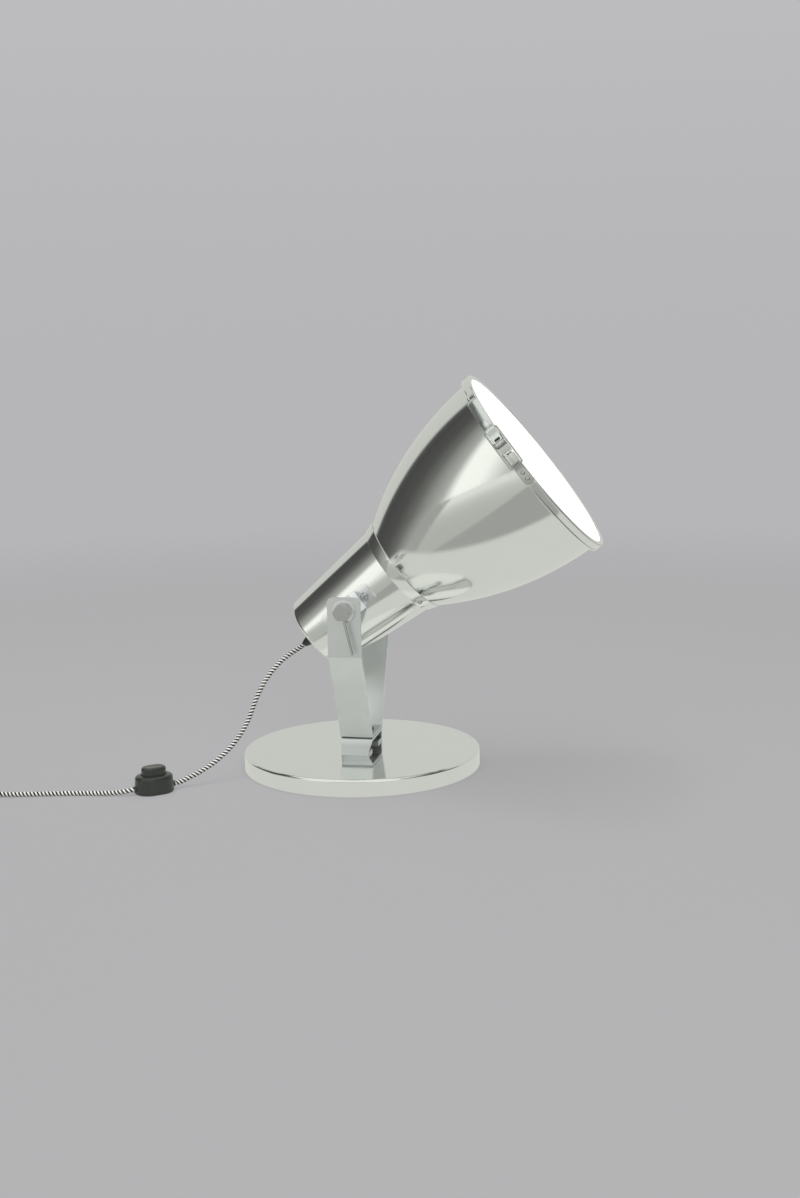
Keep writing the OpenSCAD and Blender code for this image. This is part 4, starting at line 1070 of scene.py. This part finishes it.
class UPLIGHTER_OT_plug(bpy.types.Operator):
    """Turn the plug with its ribbed tail, and strap the coil"""

    bl_idname = "uplighter.plug"
    bl_label = "Plug and strap"

    TAIL = 0.03
    FRONT = 0.018
    TAIL_RADIUS = 0.006
    TAIL_EDGE = 0.0008
    SHOULDER = 0.0155
    SHOULDER_EDGE = 0.001
    GRIP_EDGE = 0.0015
    RIBS = 5
    RIBBED_SHARE = 0.55
    RIB_EDGE = 0.0004
    RIB_STEP = 0.0006
    GROOVE_START = 0.0012
    GROOVE_END = 0.001
    PIN_EDGE = 0.001
    STRAP_TURN = math.radians(200)
    STRAP_WIDTH = 0.014
    STRAP_SHEET = 0.0012
    STRAP_PLAY = 0.001
    STRAP_LIFT = 0.0001
    STRAP_CORNERS = (0.004, 0.006)
    STRAP_ROWS = (-1.0, -0.9, 0.0, 0.9, 1.0)

    def plug_outline(self):
        """Half the plug: a tail with ribs, a shoulder and a grip with a flat front."""
        outline = [(0.0, 0.0, 0.0), (self.TAIL_RADIUS, 0.0, self.TAIL_EDGE)]
        rib = self.TAIL * self.RIBBED_SHARE / self.RIBS
        slope = (self.SHOULDER - self.TAIL_RADIUS) / self.TAIL
        for k in range(self.RIBS):
            z = rib * (k + 0.5)
            r = self.TAIL_RADIUS + slope * z
            outline += [(r, z, self.RIB_EDGE), (r - self.GROOVE_START, z + self.RIB_STEP, self.RIB_EDGE),
                        (r - self.GROOVE_END, z + rib * 0.5, self.RIB_EDGE)]
        end = self.TAIL + self.FRONT
        outline += [(self.SHOULDER, self.TAIL, self.SHOULDER_EDGE), (PLUG_RADIUS, self.TAIL, self.GRIP_EDGE),
                    (PLUG_RADIUS, end, self.GRIP_EDGE), (0.0, end, 0.0)]
        return rounded(outline, steps=3)

    def strap(self):
        """The strap round one side of the coil."""
        flex = settings().flex
        half = flex.diameter / 2
        low = self.STRAP_SHEET / 2 + self.STRAP_LIFT
        high = COIL_LOW + COIL_LAYER + half + self.STRAP_PLAY
        near = coil_inner() - half - COIL_PITCH / 2 - self.STRAP_PLAY
        far = coil_inner() + flex.coil_turns * COIL_PITCH / 2 + half + self.STRAP_PLAY
        under, over = self.STRAP_CORNERS
        hoop = rounded([(near, low, under), (far, low, under), (far, high, over), (near, high, over)],
                       steps=8)
        turn = Matrix.Translation((*COIL_AT, 0.0)) @ Matrix.Rotation(self.STRAP_TURN, 4, "Z")
        rows = [[turn @ Vector((x, self.STRAP_WIDTH / 2 * side, z)) for x, z in (*hoop, hoop[0])]
                for side in self.STRAP_ROWS]
        return pressed("coil_strap", rows, self.STRAP_SHEET)

    def execute(self, context):
        grip = spun("plug_grip", self.plug_outline(), plug_matrix(), steps=96)
        finish_piece("plug_grip", grip, "base", "black_plastic", ["plug_body"])
        pins = softened("plug_pins", self.PIN_EDGE)
        finish_piece("plug_contacts", pins, "base", "plain_steel", ["plug_pins"])
        finish_piece("coil_strap", self.strap(), "base", "tie_strap", ["coil_tie"])
        return {"FINISHED"}


# Foot switch

SWITCH_AT = Vector((-0.259, -0.182, 0.0))
SWITCH_TURN = math.radians(40)
TRAY_HEIGHT = 0.003
OVAL_POINTS = 48


def oval_level(length_out, width_out, z):
    """Points round an oval with straight sides, at a height."""
    radius = width_out / 2
    run = length_out / 2 - radius
    points = []
    for k in range(OVAL_POINTS * 2):
        turn = math.tau * (k + 0.5) / (OVAL_POINTS * 2)
        side = run if math.cos(turn) > 0 else -run
        points.append(Vector((side + radius * math.cos(turn), radius * math.sin(turn), z)))
    return points


def oval_body(name, long, wide, outline, hollow=False):
    """A solid of oval levels, closed at both ends or, if hollow, round to its start.

    Each level is (inset, height) or, where it is shorter than its inset makes it, (inset, height, less).
    """
    bm = bmesh.new()
    place = Matrix.Translation(SWITCH_AT) @ Matrix.Rotation(SWITCH_TURN, 4, "Z")
    levels = []
    for inset, z, *less in outline:
        points = oval_level(long - 2 * inset - sum(less), wide - 2 * inset, z)
        levels.append([bm.verts.new(place @ p) for p in points])
    for here, there in zip(levels, levels[1:] + levels[:1] if hollow else levels[1:]):
        bridge(bm, here, there)
    if not hollow:
        bm.faces.new(list(reversed(levels[0])))
        bm.faces.new(levels[-1])
    return mesh_from(bm, name, degrees=40)


def arc_levels(inset, z, radius, degrees, steps=8):
    """Levels that follow a round of some degrees from upright."""
    turns = [math.radians(degrees * k / steps) for k in range(steps + 1)]
    return [(inset + radius * (1 - math.cos(a)), z + radius * math.sin(a)) for a in turns]


class UPLIGHTER_OT_switch(bpy.types.Operator):
    """Mould the foot switch: tray, cover with rounded shoulder, and button"""

    bl_idname = "uplighter.switch"
    bl_label = "Foot switch"

    TRAY_FOOT = ((0.0012, 0.0), (0.0004, 0.0005), (0.0, 0.0013))
    SHOULDER = 0.0046
    SHOULDER_ROUND = 80
    TAPER = 0.0012
    CAP = 0.0008
    SEAM = 0.0004
    WALL = 0.002
    HOLE_EDGE = 0.0008
    HOLE_DROP = 0.0006
    CROWN = 0.0038
    CROWN_ROUND = 62
    TOP_LEVELS = 3
    TOP_STEP = 0.0016
    TOP_RISE = 0.0004
    SUNK = 0.0008
    SLEEVE_WALL = 0.0012
    SLEEVE_BACK = 0.004
    SLEEVE_FRONT = 0.002
    SLEEVE_PLAY = 0.0001

    def tray(self):
        """The tray, with a rounded foot and half a seam at its top."""
        flex = settings().flex
        levels = [*self.TRAY_FOOT, (0.0, TRAY_HEIGHT - self.SEAM / 2), (self.SEAM / 2, TRAY_HEIGHT)]
        return oval_body("switch_tray", flex.switch_length, flex.switch_width, levels)

    def shell(self):
        """The hollow cover, with a rounded shoulder, the button's hole and a sleeve at each end."""
        flex = settings().flex
        long, wide, high = flex.switch_length, flex.switch_width, flex.switch_height
        low = high - self.SHOULDER - self.CAP
        rim = (wide - flex.button_width) / 2 - self.SEAM
        less = long - 2 * rim - flex.button_length - 2 * self.SEAM
        levels = [(self.SEAM / 2, TRAY_HEIGHT), (0.0, TRAY_HEIGHT + self.SEAM / 2),
                  *arc_levels(self.TAPER, low, self.SHOULDER, self.SHOULDER_ROUND),
                  (rim - self.HOLE_EDGE, high, less), (rim, high - self.HOLE_DROP, less),
                  (rim, high - self.WALL, less), (rim / 2 + self.WALL, high - self.WALL),
                  (self.TAPER + self.WALL, low), (self.WALL, TRAY_HEIGHT)]
        cover = oval_body("switch_shell", long, wide, levels, hollow=True)
        return joined("switch_shell", [cover, self.inlet(-1), self.inlet(1)])

    def knob(self):
        """The button, with a rounded edge and a crowned top."""
        flex = settings().flex
        high = flex.switch_height
        crown = arc_levels(0.0, high + flex.button_rise - self.CROWN, self.CROWN, self.CROWN_ROUND)
        inset, z = crown[-1]
        top = [(inset + (k + 1) * self.TOP_STEP, z + self.TOP_RISE * (1 - (k / self.TOP_LEVELS) ** 2))
               for k in range(self.TOP_LEVELS)]
        levels = [(0.0, high - self.SUNK), *crown, *top]
        return oval_body("switch_knob", flex.button_length, flex.button_width, levels)

    def execute(self, context):
        finish_piece("switch_tray", self.tray(), "base", "black_plastic", ["switch_base"])
        finish_piece("switch_shell", self.shell(), "base", "black_plastic", ["switch_cover"])
        finish_piece("switch_knob", self.knob(), "button", "black_plastic", ["switch_button"])
        return {"FINISHED"}

    def inlet(self, side):
        """The short sleeve where the flex goes into the cover, on one side."""
        flex = settings().flex
        radius = flex.diameter / 2 + self.SLEEVE_WALL
        bore = flex.diameter / 2 + self.SLEEVE_PLAY
        back, front = -self.SLEEVE_BACK, self.SLEEVE_FRONT
        outline = rounded([(0.0, back, 0.0), (radius, back, 0.0), (radius, front, 0.0008),
                           (bore, front, 0.0002), (bore, 0.0, 0.0), (0.0, 0.0, 0.0)], steps=3)
        end = Matrix.Translation((side * flex.switch_length / 2, 0.0, TRAY_HEIGHT + radius))
        turn = Matrix.Rotation(SWITCH_TURN, 4, "Z") @ end @ Matrix.Rotation(side * math.pi / 2, 4, "Y")
        return spun("inlet", outline, Matrix.Translation(SWITCH_AT) @ turn, steps=48)


# Turned shells

class UPLIGHTER_OT_shells(bpy.types.Operator):
    """Spin the base cover, housing, collar, bell, front ring and cable gland"""

    bl_idname = "uplighter.shells"
    bl_label = "Spun shells"

    FIT = 0.0001
    BEVEL_SHARE = 0.4
    CRISP = 0.0004
    FLEX_HOLE = 0.006
    MOUTH_EDGE = 0.0003
    COLLAR_FRONT_SHEET = 0.0006
    BELL_STEPS = 40
    BELL_LAP = 0.004
    FLANGE_BACK = 0.011
    FLANGE_FRONT = 0.009
    FLANGE_INSET = 0.0023
    RING_PLAY = 0.0006
    RING_SUNK = 0.0008
    RING_ROLL = 0.0026
    GLAND_TIP = 0.0048
    GLAND_TAPER = 0.011
    GLAND_BARREL = 0.008
    GLAND_FLANGE = 0.009
    GLAND_FLANGE_LENGTH = 0.005

    def base_cover(self):
        """The base's cover, with its rounded edge and a straight side down to its bottom."""
        head = settings().head
        low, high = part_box("base_cover")
        r, z, edge, t = head.base_radius, high.z, head.base_edge, head.sheet
        bevel = edge * self.BEVEL_SHARE
        outline = rounded([(0.0, z, 0.0), (r - bevel, z, 2 * bevel), (r, z - bevel, bevel),
                           (r, low.z, self.CRISP), (r - t, low.z, self.CRISP), (r - t, z - t, edge - t),
                           (0.0, z - t, 0.0)], steps=12)
        return spun("base_shell", outline, steps=360)

    def housing(self):
        """The housing: a slightly flared cup with a rounded back and a hole for the flex."""
        head = settings().head
        back, front, t = -head.housing_back, head.housing_front, head.sheet
        corner, mouth = head.housing_corner, housing_at(front)
        outline = rounded([(self.FLEX_HOLE, back, 0.0), (housing_at(back), back, corner),
                           (mouth, front, self.MOUTH_EDGE), (mouth - t, front, self.MOUTH_EDGE),
                           (housing_at(back) - t, back + t, corner - t), (self.FLEX_HOLE, back + t, 0.0)],
                          steps=10)
        return spun("housing_shell", outline, head_matrix())

    def collar(self):
        """The collar: a band with softly rolled edges over the joint of housing and bell."""
        head = settings().head
        back, front = head.collar_back, head.collar_back + head.collar_length
        inner = housing_at(back) + self.FIT
        lap = bell_at(front) + self.FIT
        mouth = housing_at(head.housing_front) + self.FIT
        outline = rounded([(inner, back, 0.0002), (mouth, head.housing_front, 0.0), (lap, front, 0.0001),
                           (lap + self.COLLAR_FRONT_SHEET, front, 0.0003),
                           (inner + head.collar_sheet, back, 0.0008)], steps=5)
        return spun("collar_band", outline, head_matrix())

    def bell(self):
        """The bell: its side follows an arc to a flange behind the gasket."""
        head = settings().head
        start = head.collar_back + head.collar_length - self.BELL_LAP
        back, front = head.head_front - self.FLANGE_BACK, head.head_front - self.FLANGE_FRONT
        flange = head.ring_radius - self.FLANGE_INSET
        places = [start + (back - start) * k / self.BELL_STEPS for k in range(self.BELL_STEPS + 1)]
        side = [(bell_at(z), z) for z in places]
        wall = [(r - head.sheet, z) for r, z in reversed(side)]
        inner = (side[-1][0] - head.sheet, front)
        outline = [*side, (flange, back), (flange, front), inner, *wall]
        return spun("bell_shell", outline, head_matrix(), steps=360)

    def ring(self):
        """The front ring: a channel over flange and glass, with rolled edges and a gap at the latch."""
        head, latch = settings().head, settings().latch
        r, t = head.ring_radius, head.sheet
        front, back = head.head_front, head.head_front - head.ring_width
        lip = bell_at(back + t) + self.RING_PLAY
        mouth = r - head.ring_lip
        band, roll, step = r - self.RING_SUNK, self.RING_ROLL, self.RING_ROLL + self.RING_SUNK
        outline = rounded([(lip, back, 0.0006), (r, back, 0.0012), (r, back + roll, 0.0009),
                           (band, back + step, 0.0006), (band, front - step, 0.0006),
                           (r, front - roll, 0.0009), (r, front, 0.0016), (mouth, front, 0.0009),
                           (mouth, front - t, 0.0009), (r - t, front - t, 0.0003), (r - t, back + t, 0.0002),
                           (lip, back + t, 0.0006)], steps=6)
        middle = latch.hook_angle + latch.pin_step / 2
        gap = latch.split / r
        start = -math.pi / 2 - middle + gap / 2
        return spun("ring_band", outline, head_matrix(), start, math.tau - gap, steps=360)

    def gland(self):
        """The cable gland: a flange, a straight barrel and a tapered end."""
        back = -settings().head.housing_back
        end = back - settings().head.gland_length
        step = back - self.GLAND_FLANGE_LENGTH
        bore = settings().flex.diameter / 2 + self.FIT
        barrel, flange = self.GLAND_BARREL, self.GLAND_FLANGE
        outline = rounded([(bore, end, 0.0003), (self.GLAND_TIP, end, 0.0006),
                           (barrel, end + self.GLAND_TAPER, 0.002), (barrel, step, 0.0004),
                           (flange, step, 0.0006), (flange, back, 0.0002), (bore, back, 0.0)], steps=5)
        return spun("gland_sleeve", outline, head_matrix(), steps=96)

    def execute(self, context):
        finish_piece("base_shell", self.base_cover(), "base", "polished_aluminium", ["base_cover"])
        finish_piece("housing_shell", self.housing(), "head", "polished_aluminium", ["lamp_housing"])
        finish_piece("collar_band", self.collar(), "head", "polished_aluminium", ["collar_ring"])
        finish_piece("bell_shell", self.bell(), "head", "polished_aluminium", ["reflector_bell"])
        finish_piece("ring_band", self.ring(), "head", "polished_aluminium", ["front_ring"])
        finish_piece("gland_sleeve", self.gland(), "head", "black_plastic", ["cable_gland"])
        return {"FINISHED"}


# Strips and hardware

class UPLIGHTER_OT_hardware(bpy.types.Operator):
    """Round the edges of the yoke, foot, brackets, bolts and washers, and set the rivets and screws"""

    bl_idname = "uplighter.hardware"
    bl_label = "Yoke and hardware"

    EDGES = {
        "foot_bracket": 0.0006, "yoke": 0.0006, "bracket_near": 0.0006, "bracket_far": 0.0006,
        "foot_bolts": 0.0004, "foot_nuts": 0.0004, "yoke_bolts": 0.0004, "yoke_nuts": 0.0004,
        "bracket_nuts": 0.0004, "clamp_screw": 0.0009, "tommy_bar": 0.0009, "clamp_washer": 0.0009,
        "pivot_bolt": 0.0004, "pivot_washer": 0.0006, "latch_base": 0.0002, "latch_pin": 0.0003,
    }
    FINISHES = {"foot_bracket": "foot_steel", "bracket_near": "pressed_steel", "bracket_far": "pressed_steel",
                "latch_base": "plain_steel", "clamp_washer": "pressed_steel", "pivot_washer": "pressed_steel"}
    RIVET_AT = 0.032
    RIVET_GAP = 0.00045
    RIVET_SIZES = (0.0045, 0.003, 0.0008)
    BRACKET_SHEET = 0.0025
    SCREW_ANGLES = (102, 207, 312)
    SCREW_FORWARD = 0.002
    SCREW_GAP = 0.001
    SCREW_SIZES = (0.004, 0.0036, 0.002)

    def bracket_seats(self):
        """Where the brackets' rivets sit on both sides of the housing."""
        seats = []
        for side in (-1, 1):
            for z in (-self.RIVET_AT, self.RIVET_AT):
                place = Vector((0.0, side * (housing_at(z) + self.BRACKET_SHEET + self.RIVET_GAP), z))
                seats.append((head_matrix() @ place, Vector((0.0, side, 0.0))))
        return seats

    def collar_seats(self):
        """Where the collar's screws sit, square to the lamp axis."""
        head = settings().head
        z = (head.collar_back + head.housing_front) / 2 + self.SCREW_FORWARD
        radius = housing_at(z) + head.collar_sheet + self.SCREW_GAP
        seats = []
        for degrees in self.SCREW_ANGLES:
            turn = math.radians(degrees)
            out = Vector((-math.sin(turn), -math.cos(turn), 0.0))
            place = head_matrix() @ (out * radius + Vector((0.0, 0.0, z)))
            seats.append((place, head_matrix().to_3x3() @ out))
        return seats

    def execute(self, context):
        for node, width in self.EDGES.items():
            mesh = softened(node, width)
            finish_piece(node + "_edged", mesh, BODY_OF[node], SLOT_OF[node], [node], self.FINISHES.get(node))
        domed_heads("bracket_rivet_heads", self.bracket_seats(), self.RIVET_SIZES, "polished_aluminium",
                    ["bracket_rivets"])
        domed_heads("collar_screw_heads", self.collar_seats(), self.SCREW_SIZES, "plain_steel",
                    ["collar_screws"])
        return {"FINISHED"}


# Latch

class UPLIGHTER_OT_latch(bpy.types.Operator):
    """Press the latch's lever and hook, and bend its wire bail"""

    bl_idname = "uplighter.latch"
    bl_label = "Latch"

    PIN_RISE = 0.005
    BARREL_RISE = 0.0015
    BARREL = 0.003
    BOSS = 0.0035
    GROOVE = 0.0006
    GROOVE_SHARE = 0.7
    LEVER_SHEET = 0.0014
    LEVER_START = 0.4
    CROWN = 0.0034
    CROWN_RUN = 0.014
    RIM = 0.0012
    HUMP = 0.0034
    LEAF_RISE = 0.0012
    LEAF_RUN = 0.012
    TIP_BUNCHING = 1.4
    ROWS = 72
    HALF_COLUMNS = 10
    WINDOW = (0.0038, 0.0072)
    WINDOW_SHARE = 0.6
    WIRE_ACROSS = 0.0096
    WIRE_CORNER = 0.0022
    WIRE_GAP = 0.0003
    WIRE_LIFT = 0.0004
    HOOK_SHEET = 0.002
    HOOK_PRESSED = 0.9
    HOOK_TAB = 0.0025
    HOOK_ROWS = 36
    HOOK_COLUMNS = 6
    HOOK_NECK = 0.0055
    NECK_START = 0.002
    NECK_RUN = 0.004
    HOOK_CURL = ((0.001, 0.0004), (0.0025, 0.0007), (0.004, 0.0004), (0.0052, -0.0008))
    RIVET_SHARES = (0.45, 0.75)
    RIVET_SIZES = (0.003, 0.002, 0.0006)

    def marks(self):
        """The latch's angles: hook, cross wire, pin, bail pivot and lever tip."""
        latch = settings().latch
        pin_radius = settings().head.ring_radius + self.PIN_RISE
        wire = latch.hook_angle - (self.HOOK_TAB / 2 + latch.wire / 2 + self.WIRE_GAP) / pin_radius
        pin = latch.hook_angle + latch.pin_step
        return latch.hook_angle, wire, pin, pin + latch.bail_step, pin + latch.lever_span

    def knuckle(self, turn, radius, size, width):
        """The lever's rolled knuckle round its pin, with a groove at each end."""
        half, groove, deep = width / 2, self.GROOVE, size * self.GROOVE_SHARE
        side = [(size, half, 0.0005), (size, half * 0.5 + groove, 0.0003), (deep, half * 0.5 + groove, 0.0),
                (deep, half * 0.5, 0.0), (size, half * 0.5, 0.0003)]
        low = [(r, -z, fillet) for r, z, fillet in side]
        outline = rounded([(0.0, -half, 0.0), *low, *reversed(side), (0.0, half, 0.0)], steps=3)
        place = Vector((-radius * math.sin(turn), -radius * math.cos(turn), ring_middle()))
        return spun("knuckle", outline, head_matrix() @ Matrix.Translation(place), steps=40)

    def lever(self):
        """The lever: a knuckle, a hump over the bail and a long leaf with a raised middle and a flat rim."""
        latch = settings().latch
        _, _, pin, bail, tip = self.marks()
        radius = settings().head.ring_radius + self.PIN_RISE
        half, narrow = latch.leaf_width / 2, latch.shank_width / 2
        end = (tip - pin) * radius
        pivot = (bail - pin) * radius
        first = self.BOSS * self.LEVER_START
        rows = []
        window = set()
        for k in range(self.ROWS + 1):
            along = first + (end - first) * (1 - (1 - k / self.ROWS) ** self.TIP_BUNCHING)
            width = narrow + (half - narrow) * min(along / (end - half), 1.0)
            left = end - along
            if left < half:
                width *= math.sqrt(max(1 - (1 - left / half) ** 2, 0.0004))
            hump = self.HUMP * math.exp(-((along - pivot) / (2 * self.BARREL)) ** 2)
            level = hump + self.LEAF_RISE * ease((along - pivot) / self.LEAF_RUN)
            crown = self.CROWN * ease((along - pivot) / self.CROWN_RUN) * ease((left - self.RIM) / half)
            row = []
            for j in range(-self.HALF_COLUMNS, self.HALF_COLUMNS + 1):
                out = j / self.HALF_COLUMNS
                bulge = max(1 - (out * half / (half - self.RIM)) ** 2, 0.0)
                row.append(at_rim(pin + along / radius, radius + level + crown * bulge, width * out))
                inside = abs(out + 0.5 / self.HALF_COLUMNS) < self.WINDOW_SHARE
                if inside and self.WINDOW[0] < along < self.WINDOW[1]:
                    window.add((k, j + self.HALF_COLUMNS))
            rows.append(row)
        leaf = pressed("leaf", rows, self.LEVER_SHEET, window=window)
        return joined("latch_leaf", [leaf, self.knuckle(pin, radius, self.BOSS, latch.shank_width)])

    def bail(self):
        """The bail: a wire bent to a rectangle with round corners."""
        latch = settings().latch
        ring = settings().head.ring_radius
        _, wire, _, bail, _ = self.marks()
        near = at_rim(wire, ring + self.HOOK_SHEET + self.WIRE_LIFT + latch.wire / 2)
        far = at_rim(bail, ring + self.PIN_RISE + self.BARREL_RISE)
        along = (far - near).normalized()
        across = lamp_axis()
        span = (far - near).length
        out, corner = self.WIRE_ACROSS, self.WIRE_CORNER
        outline = rounded([(0.0, -out, corner), (span, -out, corner), (span, out, corner),
                           (0.0, out, corner)], steps=6)
        points = [near + along * p.x + across * p.y for p in outline]
        return wire_loop("latch_wire", points, latch.wire / 2)

    def hook(self):
        """The hook: a riveted plate with a round end, turned up and over the bail's cross wire."""
        latch = settings().latch
        ring = settings().head.ring_radius
        hook = latch.hook_angle
        middle = ring + self.HOOK_SHEET / 2
        half, neck = latch.hook_width / 2, self.HOOK_NECK
        reach = latch.hook_span * ring
        across = [j / self.HOOK_COLUMNS for j in range(-self.HOOK_COLUMNS, self.HOOK_COLUMNS + 1)]
        rows = []
        for k in range(self.HOOK_ROWS + 1):
            along = reach * (1 - k / self.HOOK_ROWS)
            left = reach - along
            if left > half:
                width = neck + (half - neck) * ease((along - self.NECK_START) / self.NECK_RUN)
            else:
                width = half * math.sqrt(max(1 - (1 - left / half) ** 2, 0.001))
            rows.append([at_rim(hook - along / ring, middle, width * out) for out in across])
        for rise, lean in self.HOOK_CURL:
            rows.append([at_rim(hook + lean / ring, middle + rise, neck * out) for out in across])
        return pressed("hook_plate", rows, self.HOOK_SHEET * self.HOOK_PRESSED)

    def hook_seats(self):
        """Where the hook's two rivets sit."""
        latch = settings().latch
        radius = settings().head.ring_radius + self.HOOK_SHEET
        seats = []
        for share in self.RIVET_SHARES:
            turn = latch.hook_angle - share * latch.hook_span
            out = at_rim(turn, 1.0) - at_rim(turn, 0.0)
            seats.append((at_rim(turn, radius), out))
        return seats

    def execute(self, context):
        finish_piece("latch_leaf", self.lever(), "lever", SLOT_OF["latch_lever"], ["latch_lever"],
                     "satin_steel")
        finish_piece("latch_wire", self.bail(), "bail", "plain_steel", ["latch_bail"])
        finish_piece("hook_plate", self.hook(), "head", SLOT_OF["latch_hook"], ["latch_hook"], "plain_steel")
        domed_heads("hook_rivet_heads", self.hook_seats(), self.RIVET_SIZES, "plain_steel", ["latch_rivets"])
        return {"FINISHED"}


# Glass and inner pieces

class UPLIGHTER_OT_inner(bpy.types.Operator):
    """Give the glass, the gasket and the inner pieces their finishes"""

    bl_idname = "uplighter.inner"
    bl_label = "Glass and inner pieces"

    def execute(self, context):
        for node, obj in frame["nodes"].items():
            if not obj.hide_render:
                obj.data.materials.clear()
                obj.data.materials.append(FINISH[SLOT_OF[node]])
        return {"FINISHED"}


# Panel, registering and the run

class UPLIGHTER_PT_panel(bpy.types.Panel):
    """Lists the steps and the settings of the uplighter"""

    bl_idname = "UPLIGHTER_PT_panel"
    bl_label = "Floor Uplighter"
    bl_space_type = "VIEW_3D"
    bl_region_type = "UI"
    bl_category = "Uplighter"

    def draw(self, context):
        for name in STEPS:
            self.layout.operator("uplighter." + name)
        for group in (settings().head, settings().latch, settings().flex, settings().finish):
            box = self.layout.box()
            for name in group.__annotations__:
                box.prop(group, name)


GROUPS = (HeadSizes, LatchSizes, FlexSizes, Finishes, UplighterSettings)
STEPS = ("stage", "shells", "hardware", "latch", "switch", "plug", "flex", "inner")
OPERATORS = (UPLIGHTER_OT_stage, UPLIGHTER_OT_shells, UPLIGHTER_OT_hardware, UPLIGHTER_OT_latch,
             UPLIGHTER_OT_switch, UPLIGHTER_OT_plug, UPLIGHTER_OT_flex, UPLIGHTER_OT_inner)
CLASSES = (*GROUPS, *OPERATORS, UPLIGHTER_PT_panel)


def register():
    for cls in CLASSES:
        bpy.utils.register_class(cls)
    bpy.types.Scene.uplighter = PointerProperty(type=UplighterSettings)


def unregister():
    del bpy.types.Scene.uplighter
    for cls in reversed(CLASSES):
        bpy.utils.unregister_class(cls)


def main():
    """Makes the whole lamp."""
    register()
    for name in STEPS:
        getattr(bpy.ops.uplighter, name)()


if __name__ == "__main__":
    main()
